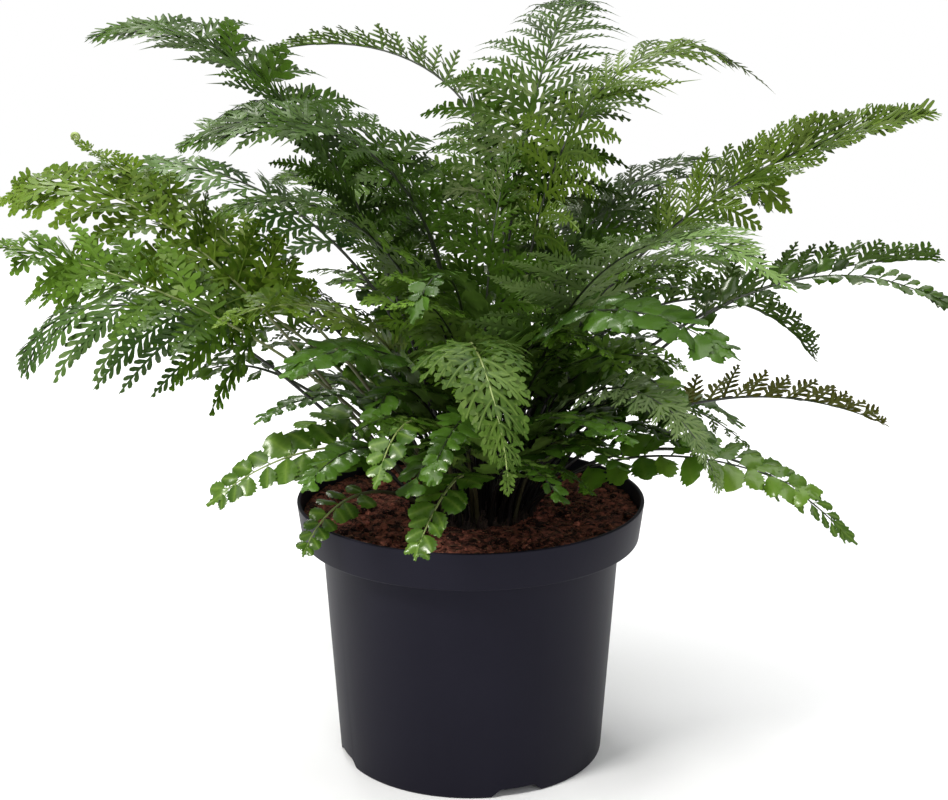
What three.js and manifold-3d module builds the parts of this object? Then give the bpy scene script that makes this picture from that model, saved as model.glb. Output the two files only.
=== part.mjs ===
// Potted fern: a plastic nursery pot, its peat, the fern's crown, and one solid for each frond.
// Millimetres, +Z up. The origin is the middle of the pot's foot, and -Y faces the viewer.
import * as THREE from "three";
import { mergeVertices } from "three/addons/utils/BufferGeometryUtils.js";
import Module from "manifold-3d";

const wasm = await Module();
wasm.setup();

// ---- Driving dimensions ----

const pot = {
  rimRadius: 85,
  height: 130,
  bandHeight: 18.7,
  bandFootRadius: 82.5,
  neckRadius: 73,
  footRadius: 65.5,
  edgeRound: 1.2,
  wall: 1.8,
  floor: 2.2,
  sides: 44,
};

// Four drain arches in the foot's edge; each is roofed inside by a hump with a drain hole through it.
const arch = {
  count: 4,
  firstHeading: -70,
  footWidth: 29,
  crownWidth: 18,
  height: 4,
  depth: 16,
  roof: 1.8,
  drainRadius: 4,
  drainInset: 9,
  drainSides: 10,
};

// How far a cutting shape runs past the surface that it cuts.
const cutOver = { outwards: 4, downwards: 1 };

// The peat's open surface, which has a ring of corners at middleShare of the way from pot to crown.
const soil = {
  edgeHeight: 124,
  middleShare: 0.45,
  unevenness: 1.1,
  sides: 36,
};

// The matted crown: a low dome over a plug with a blunt lower edge.
const crown = {
  centreX: 4,
  radius: 34,
  bottom: 108,
  bluntEdge: 3,
  edgeHeight: 123.2,
  shoulder: { radius: 30.6, height: 125.2 },
  domeRadius: 18.7,
  top: 126,
  sides: 22,
};

// A stem goes down into the crown by stemDepth, in a plain hole that clears it by fitGap all round.
const stemSeat = 126.6;
const stemDepth = 11;
const fitGap = 0.3;

// What all fronds share: the rib narrows from base to tip, and blades are thin plates that stay
// apart from their neighbours by clearance.
const rib = { baseHalf: 1.4, bladeHalf: 0.95, tipHalf: 0.6, steps: 40 };
const bladeThickness = 0.8;
const clearance = 0.3;

// The share of a rib where its last pair of leaflets ends and its own leaf tip begins, and the
// share where that leaf tip is widest.
const bladeEnd = 0.93;
const tipBelly = 0.965;

// Pairs of leaflets close up towards the tip: the first gap is 1 + closingUp times the mean one.
const closingUp = 0.3;

// Leaflets of cut fronds: footLength and lengthening give their length at the blade's foot and how
// soon it is full; taper narrows the blade to its tip, and peak is the largest value of the whole.
const cutBlade = { footLength: 0.66, lengthening: 1.5, taper: 0.65, peak: 0.87 };

// Leaflets of broad fronds: footLength as above, and tipLoss of the length is gone at the tip.
const broadBlade = { footLength: 0.85, tipLoss: 0.45 };

// Two leaflets of one frond that share less than this volume only touch where their roots meet.
const touchVolume = 1e-4;

// A leaflet is at least shortestLeaflet times as long as its root, and its outline keeps clearOfRib away
// from the middle of its root.
const shortestLeaflet = 0.75;
const clearOfRib = 2.4;

// A leaflet in the way of another is tried again with these tilts, in degrees, and then shorter.
const leafletTilts = [0, 12, -12, 24, -24, 36, -36, 50, -50];
const leafletScales = [1, 0.82, 0.62];

// Each kind's leaflets. spacing: from one pair to the next along the rib, but at most crowding times
// the frond's longest leaflet. rootShare: how much of the spacing their root takes. sweep: how far
// they lean forward, in degrees, at the blade's foot and tip. sag and forward: how far they arch
// down and towards the tip, as shares of their length. width: theirs, as a share of the spacing.
// tipHalf: half the width of the frond's own leaf tip. outline: u runs from the rib (0) to the tip
// (1), v is a share of the leaflet's width, forward positive, from the rear of the root round the
// tip to the front.
const kinds = {
  fine: {
    spacing: 16.5,
    crowding: 0.46,
    rootShare: 1,
    sweep: [24, 50],
    sag: 0.34,
    forward: 0.1,
    width: 0.9,
    tipHalf: 2.4,
    outline: [[0.14, -0.26], [1, 0.02], [0.24, 0.4]],
    colour: 0x3f6b2a,
  },
  young: {
    spacing: 20,
    crowding: 0.5,
    rootShare: 0.3,
    sweep: [28, 50],
    sag: 0.1,
    forward: 0.05,
    width: 0.8,
    tipHalf: 2.4,
    outline: [[0.82, -0.5], [0.8, -0.06], [1, 0.2], [0.5, 0.46]],
    colour: 0x6f9a35,
  },
  broad: {
    spacing: 17,
    crowding: 0.62,
    rootShare: 0.34,
    sweep: [22, 46],
    sag: 0.16,
    forward: 0.04,
    width: 0.95,
    tipHalf: 6,
    outline: [[0.34, -0.48], [0.84, -0.32], [1, 0.06], [0.72, 0.42], [0.26, 0.5]],
    colour: 0x3c7330,
  },
};

// Every frond, from the crest down to the skirt over the rim and then the back of the plant.
// ring: distance of the stem from the crown's middle. heading: compass of the stem and the frond,
// 0 to the viewer's right and 90 away. rise: steepness at the base. droop and swing: how far the
// rib bends down and round by its tip, later in its length as late grows. reach: longest leaflet.
// bare: share of the rib with no leaflets. roll: how far the blade turns on its edge. fold: how far
// both rows of leaflets stand up from the blade, or hang below it.
const frondRows = [
  // name, kind, ring, heading, rise, droop, swing, late, length, reach, bare, roll, fold
  ["crest", "fine", 8, 62, 82, 104, 24, 2.6, 322, 72, 0.44, 0, 0],
  ["crest_right", "fine", 14, 16, 86, 130, 12, 3.5, 289, 68, 0.45, 10, 0],
  ["thin_arch", "fine", 15, 62, 86, 102, 125, 1.4, 342, 24, 0.56, 10, 45],
  ["high_left", "fine", 8, 181, 74, 99, -25, 3.1, 322, 76, 0.4, -14, 0],
  ["left_sweep", "fine", 14, 238, 88, 122, -55, 2.2, 288, 66, 0.5, 5, 0],
  ["blue_left", "fine", 20, 149, 86, 98, 21, 1.1, 278, 46, 0.45, -15, 0],
  ["curl_left", "young", 20, 180, 66, 38, -4, 0.9, 250, 34, 0.45, -25, 0],
  ["lace_upper", "young", 26, 186, 53, 93, -40, 4, 276, 54, 0.42, -32, 0],
  ["lace_mid", "young", 20, 200, 58, 44, -2, 0.9, 256, 54, 0.42, -30, 0],
  ["lace_back", "young", 14, 166, 52, 88, -4, 1.8, 270, 54, 0.42, -24, 0],
  ["low_left", "fine", 29, 180, 46, 114, -8, 3, 241, 52, 0.4, -22, -12],
  ["scrap_left", "broad", 25, 168, 44, 82, -5, 3, 145, 14, 0.7, 0, 0],
  ["far_right", "fine", 14, 352, 84, 76, 12, 0.9, 296, 28, 0.5, 35, 15],
  ["right_arm", "fine", 20, 0, 68, 70, 0, 0.9, 249, 26, 0.5, 0, 50],
  ["right_fork", "young", 27, 350, 58, 92, 0, 2.1, 245, 30, 0.5, 15, 20],
  ["right_drop", "fine", 21, 19, 85, 142, -8, 1.2, 222, 28, 0.45, 0, 55],
  ["right_low", "fine", 27, 8, 52, 78, -6, 0.9, 194, 26, 0.45, 0, 50],
  ["skirt_right", "broad", 26, 322, 52, 77, 22, 0.9, 158, 22, 0.3, 0, 0],
  ["trail_right", "broad", 27, 338, 56, 104, 4, 0.9, 176, 18, 0.5, 0, 0],
  ["olive", "fine", 20, 308, 66, 135, 3, 1.7, 192, 40, 0.35, 0, 0],
  ["bright", "fine", 14, 312, 74, 93, 0, 2, 236, 74, 0.45, 0, 0],
  ["gloss_right", "broad", 21, 287, 86, 117, 44, 1.3, 221, 29, 0.4, -15, 0],
  ["front_drop", "fine", 20, 263, 75, 160, 32, 1.8, 232, 38, 0.4, 0, 0],
  ["gloss_left", "broad", 21, 240, 85, 110, -22, 1.4, 167, 28, 0.4, 10, 0],
  ["skirt_left", "broad", 27, 232, 72, 112, -38, 0.9, 144, 20, 0.4, 0, 0],
  ["upper_skirt", "broad", 26, 218, 85, 134, -25, 1.3, 112, 21, 0.35, 0, 0],
  ["star_front", "broad", 26, 250, 66, 118, 3, 1.8, 143, 21, 0.45, 0, 0],
  ["rim_left", "broad", 28, 206, 46, 88, 40, 0.9, 90, 16, 0.45, 0, 0],
  ["rim_front", "broad", 27, 268, 72, 118, -24, 0.9, 120, 19, 0.45, 0, 0],
  ["mid_left", "fine", 14, 215, 87, 112, -8, 2, 234, 52, 0.45, 0, 0],
  ["heart", "fine", 3, 73, 86, 44, -30, 3.2, 188, 48, 0.45, 0, 0],
  ["back_right", "fine", 18, 22, 86, 110, 14, 2, 238, 50, 0.45, 0, 0],
  ["shade_right", "fine", 20, 34, 82, 131, -10, 2, 255, 52, 0.45, 0, 0],
  ["roof_left", "fine", 9, 135, 86, 140, 34, 2.3, 296, 58, 0.45, 0, 0],
  ["gloss_mid", "broad", 14, 258, 84, 150, -14, 3.3, 182, 24, 0.55, 0, 0],
  ["gloss_low", "broad", 21, 328, 80, 128, -18, 1.9, 142, 24, 0.4, 0, 0],
  ["young_mid", "young", 21, 220, 85, 107, -2, 1.4, 196, 32, 0.45, 0, 0],
  ["skirt_front", "broad", 27, 302, 84, 104, 10, 0.9, 104, 23, 0.35, 0, 0],
  ["back_tall", "fine", 14, 92, 82, 92, -8, 1.6, 268, 56, 0.4, 0, 0],
  ["back_left", "fine", 20, 120, 72, 98, 6, 1.6, 262, 54, 0.4, 0, 0],
  ["back_mid", "fine", 20, 72, 70, 104, 6, 1.6, 250, 54, 0.4, 0, 0],
  ["back_low_left", "fine", 26, 142, 58, 98, 4, 1.6, 234, 50, 0.4, 0, 0],
  ["back_low_right", "fine", 26, 50, 60, 100, -6, 1.6, 240, 50, 0.4, 0, 0],
  ["back_young", "young", 27, 102, 52, 96, 0, 1.6, 206, 42, 0.42, 0, 0],
  ["back_skirt_left", "broad", 27, 124, 56, 104, 8, 1.2, 146, 26, 0.35, 0, 0],
  ["back_skirt_mid", "broad", 27, 82, 58, 112, 0, 1.2, 138, 24, 0.35, 0, 0],
  ["back_skirt_right", "broad", 27, 30, 54, 100, -6, 1.2, 146, 24, 0.35, 0, 0],
];

const frondKeys = [
  "name", "kind", "ring", "heading", "rise", "droop", "swing", "late", "length", "reach", "bare", "roll",
  "fold",
];
const fronds = frondRows.map((row) => Object.fromEntries(frondKeys.map((key, i) => [key, row[i]])));

// ---- Solids ----

function toSolid(geometry) {
  const bare = new THREE.BufferGeometry();
  bare.setAttribute("position", geometry.getAttribute("position"));
  bare.setIndex(geometry.getIndex());
  const merged = mergeVertices(bare, 1e-4);
  return new wasm.Manifold(
    new wasm.Mesh({
      numProp: 3,
      vertProperties: merged.getAttribute("position").array,
      triVerts: new Uint32Array(merged.getIndex().array),
    }),
  );
}

function toGeometry(solid) {
  const mesh = solid.getMesh();
  const geometry = new THREE.BufferGeometry();
  geometry.setAttribute("position", new THREE.BufferAttribute(mesh.vertProperties, 3));
  geometry.setIndex(new THREE.BufferAttribute(mesh.triVerts, 1));
  geometry.computeVertexNormals();
  return geometry;
}

// A solid of revolution round Z from [radius, height] points, bottom of the outside first.
function turned(profile, sides) {
  const points = profile.map(([radius, height]) => new THREE.Vector2(radius, height));
  return new THREE.LatheGeometry(points, sides).rotateX(Math.PI / 2);
}

const radians = THREE.MathUtils.degToRad;

// ---- Pot ----

function potWall() {
  const bandFoot = pot.height - pot.bandHeight;
  const slope = (pot.neckRadius - pot.footRadius) / bandFoot;
  const round = pot.edgeRound;
  return turned(
    [
      [0, 0],
      [pot.footRadius - round, 0],
      [pot.footRadius, round],
      [pot.neckRadius, bandFoot],
      [pot.bandFootRadius, bandFoot],
      [pot.rimRadius, pot.height],
      [pot.rimRadius - pot.wall, pot.height],
      [pot.bandFootRadius - pot.wall, bandFoot + pot.wall],
      [pot.neckRadius - pot.wall, bandFoot + pot.wall],
      [pot.footRadius + slope * pot.floor - pot.wall, pot.floor],
      [0, pot.floor],
    ],
    pot.sides,
  );
}

// The space of one drain arch, grown on every side by extra, reaching inwards from the foot's edge.
function archSpace(heading, extra) {
  const outline = new THREE.Shape();
  const outerRadius = pot.footRadius + cutOver.outwards;
  outline.moveTo(-arch.footWidth / 2 - extra, -cutOver.downwards);
  outline.lineTo(arch.footWidth / 2 + extra, -cutOver.downwards);
  outline.lineTo(arch.crownWidth / 2 + extra, arch.height + extra);
  outline.lineTo(-arch.crownWidth / 2 - extra, arch.height + extra);
  outline.closePath();
  const depth = outerRadius - (pot.footRadius - arch.depth - extra);
  const space = new THREE.ExtrudeGeometry(outline, { depth, bevelEnabled: false });
  space.rotateX(Math.PI / 2).translate(0, outerRadius, 0);
  return space.rotateZ(radians(heading - 90));
}

function drainHole(heading) {
  const top = arch.height + arch.roof + cutOver.outwards;
  const radius = arch.drainRadius;
  const hole = new THREE.CylinderGeometry(radius, radius, 2 * top, arch.drainSides);
  hole.rotateX(Math.PI / 2).translate(pot.footRadius - arch.drainInset, 0, 0);
  return hole.rotateZ(radians(heading));
}

const archHeadings = Array.from({ length: arch.count }, (_, i) => {
  return arch.firstHeading + (360 / arch.count) * i;
});

// A slab that keeps what is added inside the pot above its foot plane.
function aboveFoot(radius, height) {
  return toSolid(turned([[0, 0], [radius, 0], [radius, height], [0, height]], pot.sides));
}

function buildPot() {
  const inside = aboveFoot(pot.footRadius - pot.wall / 2, arch.height * 2);
  let body = toSolid(potWall());
  for (const heading of archHeadings) {
    const hump = toSolid(archSpace(heading, arch.roof)).intersect(inside);
    body = body.add(hump);
  }
  for (const heading of archHeadings) {
    body = body.subtract(toSolid(archSpace(heading, 0)));
    body = body.subtract(toSolid(drainHole(heading)));
  }
  return toGeometry(body);
}

// ---- Soil and crown ----

function soilBody() {
  const bandFoot = pot.height - pot.bandHeight;
  const gap = fitGap;
  const lean = (pot.neckRadius - pot.footRadius) / bandFoot;
  const bandLean = (pot.rimRadius - pot.bandFootRadius) / pot.bandHeight;
  const surfaceRadius = pot.bandFootRadius + bandLean * (soil.edgeHeight - bandFoot) - pot.wall - 3 * gap;
  const pit = crown.radius + gap;
  const pitFloor = crown.bottom - gap;
  const middleRadius = THREE.MathUtils.lerp(surfaceRadius, pit, soil.middleShare);
  const body = turned(
    [
      [0, pot.floor + gap],
      [pot.footRadius + lean * pot.floor - pot.wall - gap, pot.floor + gap],
      [pot.neckRadius - pot.wall - gap, bandFoot + pot.wall + gap],
      [pot.bandFootRadius - pot.wall - gap, bandFoot + pot.wall + gap],
      [surfaceRadius, soil.edgeHeight],
      [middleRadius, soil.edgeHeight],
      [pit, soil.edgeHeight],
      [pit, pitFloor],
      [0, pitFloor],
    ],
    soil.sides,
  );
  roughenSurface(body, middleRadius);
  return body;
}

// Lifts and sinks the middle ring of the open surface in low waves.
function roughenSurface(geometry, middleRadius) {
  const position = geometry.getAttribute("position");
  for (let i = 0; i < position.count; i += 1) {
    const radius = Math.hypot(position.getX(i), position.getY(i));
    if (Math.abs(radius - middleRadius) < fitGap && position.getZ(i) === soil.edgeHeight) {
      const angle = Math.atan2(position.getY(i), position.getX(i));
      const wave = Math.sin(angle * 5) + Math.sin(angle * 8 + 1);
      position.setZ(i, soil.edgeHeight + soil.unevenness * wave);
    }
  }
}

function buildSoil() {
  let body = toSolid(soilBody());
  for (const heading of archHeadings) {
    body = body.subtract(toSolid(archSpace(heading, arch.roof + fitGap)));
  }
  return body;
}

function crownBody() {
  const body = turned(
    [
      [0, crown.bottom],
      [crown.radius - crown.bluntEdge, crown.bottom],
      [crown.radius, crown.bottom + crown.bluntEdge],
      [crown.radius, crown.edgeHeight],
      [crown.shoulder.radius, crown.shoulder.height],
      [crown.domeRadius, crown.top],
      [0, crown.top],
    ],
    crown.sides,
  );
  return toSolid(body);
}

// ---- Fronds ----

// The rib of a frond as a curve whose steepness and heading change along it.
class RibCurve extends THREE.Curve {
  constructor(frond) {
    super();
    this.frond = frond;
    this.steps = rib.steps;
    this.points = [this.seat()];
    for (let i = 0; i < this.steps; i += 1) {
      const step = this.direction((i + 0.5) / this.steps).multiplyScalar(frond.length / this.steps);
      this.points.push(this.points[i].clone().add(step));
    }
  }

  seat() {
    const heading = radians(this.frond.heading);
    const x = crown.centreX + this.frond.ring * Math.cos(heading);
    return new THREE.Vector3(x, this.frond.ring * Math.sin(heading), stemSeat);
  }

  angles(t) {
    const bend = t ** this.frond.late;
    return {
      steepness: radians(this.frond.rise - this.frond.droop * bend),
      heading: radians(this.frond.heading + this.frond.swing * bend),
    };
  }

  direction(t) {
    const { steepness, heading } = this.angles(t);
    const level = Math.cos(steepness);
    return new THREE.Vector3(level * Math.cos(heading), level * Math.sin(heading), Math.sin(steepness));
  }

  getPoint(t) {
    const place = Math.min(t * this.steps, this.steps - 1e-6);
    const index = Math.floor(place);
    return this.points[index].clone().lerp(this.points[index + 1], place - index);
  }

  // The rib's own axes at t: along it, to its right, and out of its upper face.
  axes(t) {
    const { heading } = this.angles(t);
    const along = this.direction(t);
    const right = new THREE.Vector3(Math.sin(heading), -Math.cos(heading), 0);
    const turn = radians(this.frond.roll) * THREE.MathUtils.smoothstep(t, 0, this.frond.bare);
    right.applyAxisAngle(along, turn);
    return { along, right, up: new THREE.Vector3().crossVectors(right, along) };
  }
}

// The places along a rib where it has a cross-section, and which of them start a pair of leaflets.
function ribStations(frond) {
  const kind = kinds[frond.kind];
  const spacing = Math.min(kind.spacing, kind.crowding * frond.reach);
  const pairs = Math.round(((bladeEnd - frond.bare) * frond.length) / spacing);
  const stations = [0, 0.5].map((f) => ({ t: f * frond.bare, pair: false }));
  const along = (i) => {
    const share = ((1 + closingUp) * i - (closingUp * i * i) / pairs) / pairs;
    return THREE.MathUtils.lerp(frond.bare, bladeEnd, share);
  };
  for (let i = 0; i < pairs; i += 1) {
    const start = along(i);
    const end = THREE.MathUtils.lerp(start, along(i + 1), kind.rootShare);
    stations.push({ t: start, pair: true, share: (i + 0.5) / pairs });
    if (kind.rootShare < 1) stations.push({ t: end, pair: false });
  }
  stations.push({ t: bladeEnd, pair: false });
  return stations;
}

function ribHalf(frond, t) {
  if (t < frond.bare) return THREE.MathUtils.lerp(rib.baseHalf, rib.bladeHalf, t / frond.bare);
  return THREE.MathUtils.lerp(rib.bladeHalf, rib.tipHalf, (t - frond.bare) / (1 - frond.bare));
}

function crossSection(centre, axes, halfWidth, halfThickness) {
  const corner = (x, z) => {
    const edge = centre.clone().addScaledVector(axes.right, x * halfWidth);
    return edge.addScaledVector(axes.up, z * halfThickness);
  };
  return {
    topRight: corner(1, 1),
    topLeft: corner(-1, 1),
    bottomLeft: corner(-1, -1),
    bottomRight: corner(1, -1),
  };
}

// The rib as a chain of square sections: sunk upright in the crown, then along its curve to a leaf tip.
function ribSections(frond) {
  const curve = new RibCurve(frond);
  const heading = radians(frond.heading);
  const upright = {
    right: new THREE.Vector3(Math.sin(heading), -Math.cos(heading), 0),
    up: new THREE.Vector3(-Math.cos(heading), -Math.sin(heading), 0),
  };
  const foot = curve.seat().setZ(stemSeat - stemDepth);
  const sections = [{ ...crossSection(foot, upright, rib.baseHalf, rib.baseHalf), pair: false }];
  for (const station of ribStations(frond)) {
    const half = ribHalf(frond, station.t);
    const axes = station.t === 0 ? upright : curve.axes(station.t);
    const corners = crossSection(curve.getPoint(station.t), axes, half, half);
    sections.push({ ...corners, ...station, axes });
  }
  const leafHalf = kinds[frond.kind].tipHalf;
  const belly = crossSection(curve.getPoint(tipBelly), curve.axes(tipBelly), leafHalf, bladeThickness / 2);
  const tip = crossSection(curve.getPoint(1), curve.axes(1), rib.tipHalf, bladeThickness / 2);
  sections.push({ ...belly, pair: false }, { ...tip, pair: false });
  return sections;
}

// The length of the leaflets at a share of the blade, a little short at its foot.
function leafletLength(frond, share) {
  if (frond.kind === "broad") {
    const filled = Math.min(broadBlade.footLength + share, 1);
    return frond.reach * filled * (1 - broadBlade.tipLoss * share ** 2);
  }
  const filled = Math.min(cutBlade.footLength + cutBlade.lengthening * share, 1);
  return (frond.reach * filled * (1 - share) ** cutBlade.taper) / cutBlade.peak;
}

// One leaflet between two rib sections: its two root edges and its outline on both faces. u runs along
// the leaflet's axis and v along the rib, so the outline stays on the outer side of its root.
function leaflet(frond, rear, front, side, tilt, scale) {
  const kind = kinds[frond.kind];
  const edge = side > 0 ? ["topRight", "bottomRight"] : ["topLeft", "bottomLeft"];
  const rootTop = [rear[edge[0]], front[edge[0]]];
  const rootBottom = [rear[edge[1]], front[edge[1]]];
  const middle = new THREE.Vector3();
  [...rootTop, ...rootBottom].forEach((corner) => middle.addScaledVector(corner, 0.25));
  const root = rootTop[0].distanceTo(rootTop[1]);
  const width = (root / kind.rootShare) * kind.width;
  const length = Math.max(scale * leafletLength(frond, rear.share), shortestLeaflet * root);
  const sweep = radians(THREE.MathUtils.lerp(kind.sweep[0], kind.sweep[1], rear.share));
  const { along } = rear.axes;
  const lift = tilt + radians(frond.fold);
  const outwards = rear.axes.right.clone().multiplyScalar(side).applyAxisAngle(along, -side * lift);
  const sag = frond.fold > 0 ? 0 : kind.sag;
  const axis = outwards.clone().multiplyScalar(Math.cos(sweep)).addScaledVector(along, Math.sin(sweep));
  const forward = along.clone().multiplyScalar(Math.cos(sweep)).addScaledVector(outwards, -Math.sin(sweep));
  const normal = new THREE.Vector3().crossVectors(axis, forward).multiplyScalar(side).normalize();
  const outline = kind.outline.map(([u, v]) => [Math.max(u, clearOfRib / length), v]);
  const place = (offset) => ([u, v]) => {
    const point = middle.clone().addScaledVector(axis, u * length).addScaledVector(along, v * width);
    point.addScaledVector(forward, kind.forward * length * u * u).addScaledVector(normal, offset);
    return point.setZ(point.z - sag * length * u * u);
  };
  const flatten = ([u, v]) => {
    const across = v * width * Math.cos(sweep) + kind.forward * length * u * u;
    return new THREE.Vector2(u * length + v * width * Math.sin(sweep), across);
  };
  const rootV = root / width / 2;
  return {
    top: [rootTop[0], ...outline.map(place(bladeThickness / 2)), rootTop[1]],
    bottom: [rootBottom[0], ...outline.map(place(-bladeThickness / 2)), rootBottom[1]],
    faces: flatFaces([[0, -rootV], ...outline, [0, rootV]].map(flatten)),
    side,
  };
}

// Splits a flat outline into triangles that all turn the same way.
function flatFaces(outline) {
  return THREE.ShapeUtils.triangulateShape(outline, []).map(([a, b, c]) => {
    const turn = outline[b].clone().sub(outline[a]).cross(outline[c].clone().sub(outline[a]));
    return turn > 0 ? [a, b, c] : [a, c, b];
  });
}

// Triangles gathered one by one into a geometry.
class Skin {
  constructor() {
    this.corners = [];
  }

  triangle(a, b, c) {
    this.corners.push(a, b, c);
  }

  quad(a, b, c, d) {
    this.triangle(a, b, c);
    this.triangle(a, c, d);
  }

  // A leaflet's two faces and its cut edge; closed adds the face at its root.
  leaflet({ top, bottom, faces, side }, closed) {
    const [upper, lower] = side > 0 ? [top, bottom] : [bottom, top];
    faces.forEach(([a, b, c]) => {
      this.triangle(upper[a], upper[b], upper[c]);
      this.triangle(lower[a], lower[c], lower[b]);
    });
    for (let i = 0; i < upper.length - 1; i += 1) {
      this.quad(upper[i + 1], upper[i], lower[i], lower[i + 1]);
    }
    const last = upper.length - 1;
    if (closed) this.quad(upper[0], upper[last], lower[last], lower[0]);
  }

  geometry() {
    return new THREE.BufferGeometry().setFromPoints(this.corners);
  }
}

function ribSkin(sections, leaflets) {
  const skin = new Skin();
  const taken = new Set(leaflets.map(({ index, side }) => `${index} ${side}`));
  const first = sections[0];
  skin.quad(first.topRight, first.topLeft, first.bottomLeft, first.bottomRight);
  for (let i = 0; i < sections.length - 1; i += 1) {
    const rear = sections[i];
    const front = sections[i + 1];
    skin.quad(rear.topLeft, rear.topRight, front.topRight, front.topLeft);
    skin.quad(rear.bottomRight, rear.bottomLeft, front.bottomLeft, front.bottomRight);
    if (!taken.has(`${i} 1`)) skin.quad(rear.topRight, rear.bottomRight, front.bottomRight, front.topRight);
    if (!taken.has(`${i} -1`)) skin.quad(rear.bottomLeft, rear.topLeft, front.topLeft, front.bottomLeft);
  }
  const last = sections[sections.length - 1];
  skin.quad(last.topLeft, last.topRight, last.bottomRight, last.bottomLeft);
  return skin;
}

// ---- Bending leaflets clear of what stands already ----

function boxOf(solid) {
  const { min, max } = solid.boundingBox();
  return new THREE.Box3(new THREE.Vector3(...min), new THREE.Vector3(...max));
}

function standing(owner, solid) {
  return { owner, solid, box: boxOf(solid).expandByScalar(clearance) };
}

function isClear(owner, solid, others) {
  const box = boxOf(solid);
  return others.every((other) => {
    if (!other.box.intersectsBox(box)) return true;
    if (other.owner !== owner) return other.solid.minGap(solid, 2 * clearance) >= clearance;
    return other.solid.intersect(solid).volume() < touchVolume;
  });
}

// Tries a leaflet level, then bent up or down by more and more, then shorter, and gives the first clear one.
function clearLeaflet(frond, rear, front, side, others) {
  for (const scale of leafletScales) {
    for (const tilt of leafletTilts) {
      const made = leaflet(frond, rear, front, side, radians(tilt), scale);
      const skin = new Skin();
      skin.leaflet(made, true);
      const solid = toSolid(skin.geometry());
      if (isClear(frond.name, solid, others)) return { made, solid };
    }
  }
  return null;
}

function buildFronds(obstacles) {
  const ribs = fronds.map((frond) => ribSections(frond));
  const others = [...obstacles];
  fronds.forEach((frond, i) => {
    others.push(standing(frond.name, toSolid(ribSkin(ribs[i], []).geometry())));
  });
  return fronds.map((frond, i) => {
    const sections = ribs[i];
    const leaflets = [];
    for (let index = 0; index < sections.length - 1; index += 1) {
      for (const side of sections[index].pair ? [1, -1] : []) {
        const found = clearLeaflet(frond, sections[index], sections[index + 1], side, others);
        if (found) {
          leaflets.push({ ...found.made, index });
          others.push(standing(frond.name, found.solid));
        }
      }
    }
    const skin = ribSkin(sections, leaflets);
    leaflets.forEach((made) => skin.leaflet(made, false));
    return { frond, solid: toSolid(skin.geometry()) };
  });
}

// The plain hole that a stem stands in: its buried stretch, wider by the gap and open upwards.
function stemHole(frond) {
  const width = 2 * (rib.baseHalf + fitGap);
  const depth = stemDepth + fitGap + cutOver.outwards;
  const hole = new THREE.BoxGeometry(width, width, depth).rotateZ(radians(frond.heading));
  const seat = new RibCurve(frond).seat();
  return toSolid(hole.translate(seat.x, seat.y, stemSeat + cutOver.outwards - depth / 2));
}

// ---- Assembly ----

const plant = new THREE.Group();

function addPiece(name, geometry, colour, roughness) {
  const material = new THREE.MeshStandardMaterial({ color: colour, roughness, metalness: 0 });
  const mesh = new THREE.Mesh(geometry, material);
  mesh.name = name;
  plant.add(mesh);
}

const potGeometry = buildPot();
const soilSolid = buildSoil();
let crownSolid = crownBody();
const grown = buildFronds([
  standing("pot", toSolid(potGeometry)),
  standing("soil", soilSolid),
]);
fronds.forEach((frond) => {
  crownSolid = crownSolid.subtract(stemHole(frond));
});

addPiece("pot", potGeometry, 0x2b2b33, 0.45);
addPiece("soil", toGeometry(soilSolid), 0x2a150e, 0.95);
addPiece("crown", toGeometry(crownSolid), 0x2d1d14, 0.9);
grown.forEach(({ frond, solid }) => {
  addPiece(`frond_${frond.name}`, toGeometry(solid), kinds[frond.kind].colour, 0.5);
});

export default plant;
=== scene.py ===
"""Potted fern: a plastic nursery pot with peat, the fern's crown, and every frond with its cut leaflets.

Run as a script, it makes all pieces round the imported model, a stage and a camera.
"""

import math
import random

import bmesh
import bpy
import numpy as np
from bpy.props import FloatProperty, FloatVectorProperty, PointerProperty
from mathutils import Matrix, Vector, noise


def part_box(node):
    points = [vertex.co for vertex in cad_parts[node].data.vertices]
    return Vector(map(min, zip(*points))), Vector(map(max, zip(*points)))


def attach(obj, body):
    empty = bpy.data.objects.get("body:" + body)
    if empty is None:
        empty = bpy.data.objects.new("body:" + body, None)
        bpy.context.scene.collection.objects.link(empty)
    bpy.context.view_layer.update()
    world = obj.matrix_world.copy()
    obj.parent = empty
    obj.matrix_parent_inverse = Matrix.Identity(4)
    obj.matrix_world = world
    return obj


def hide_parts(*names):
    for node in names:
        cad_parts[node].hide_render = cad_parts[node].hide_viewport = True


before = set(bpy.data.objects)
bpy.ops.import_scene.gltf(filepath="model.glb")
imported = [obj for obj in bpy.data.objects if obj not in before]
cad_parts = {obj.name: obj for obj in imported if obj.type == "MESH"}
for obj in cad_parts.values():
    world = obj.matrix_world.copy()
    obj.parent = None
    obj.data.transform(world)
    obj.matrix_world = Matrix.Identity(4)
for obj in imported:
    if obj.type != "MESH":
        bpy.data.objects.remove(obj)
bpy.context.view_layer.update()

bl_info = {
    "name": "Potted fern",
    "version": (1, 0, 0),
    "blender": (4, 5, 0),
    "location": "View3D > Sidebar > Fern",
    "description": "Models a fern with finely cut fronds in a nursery pot",
    "category": "Object",
}

MM = 0.001
UP = Vector((0, 0, 1))


def keyed(keys, rows):
    """A table's rows, each with its values under these keys."""
    return {name: dict(zip(keys, row)) for name, row in rows.items()}


# ---- The frame's own sizes ----

_, POT_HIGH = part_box("pot")
CROWN_LOW, CROWN_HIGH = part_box("crown")
RIM_RADIUS = POT_HIGH.x
POT_HEIGHT = POT_HIGH.z
CROWN_CENTRE = Vector(((CROWN_LOW.x + CROWN_HIGH.x) / 2, 0, 0))
CROWN_RADIUS = (CROWN_HIGH.x - CROWN_LOW.x) / 2

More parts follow.
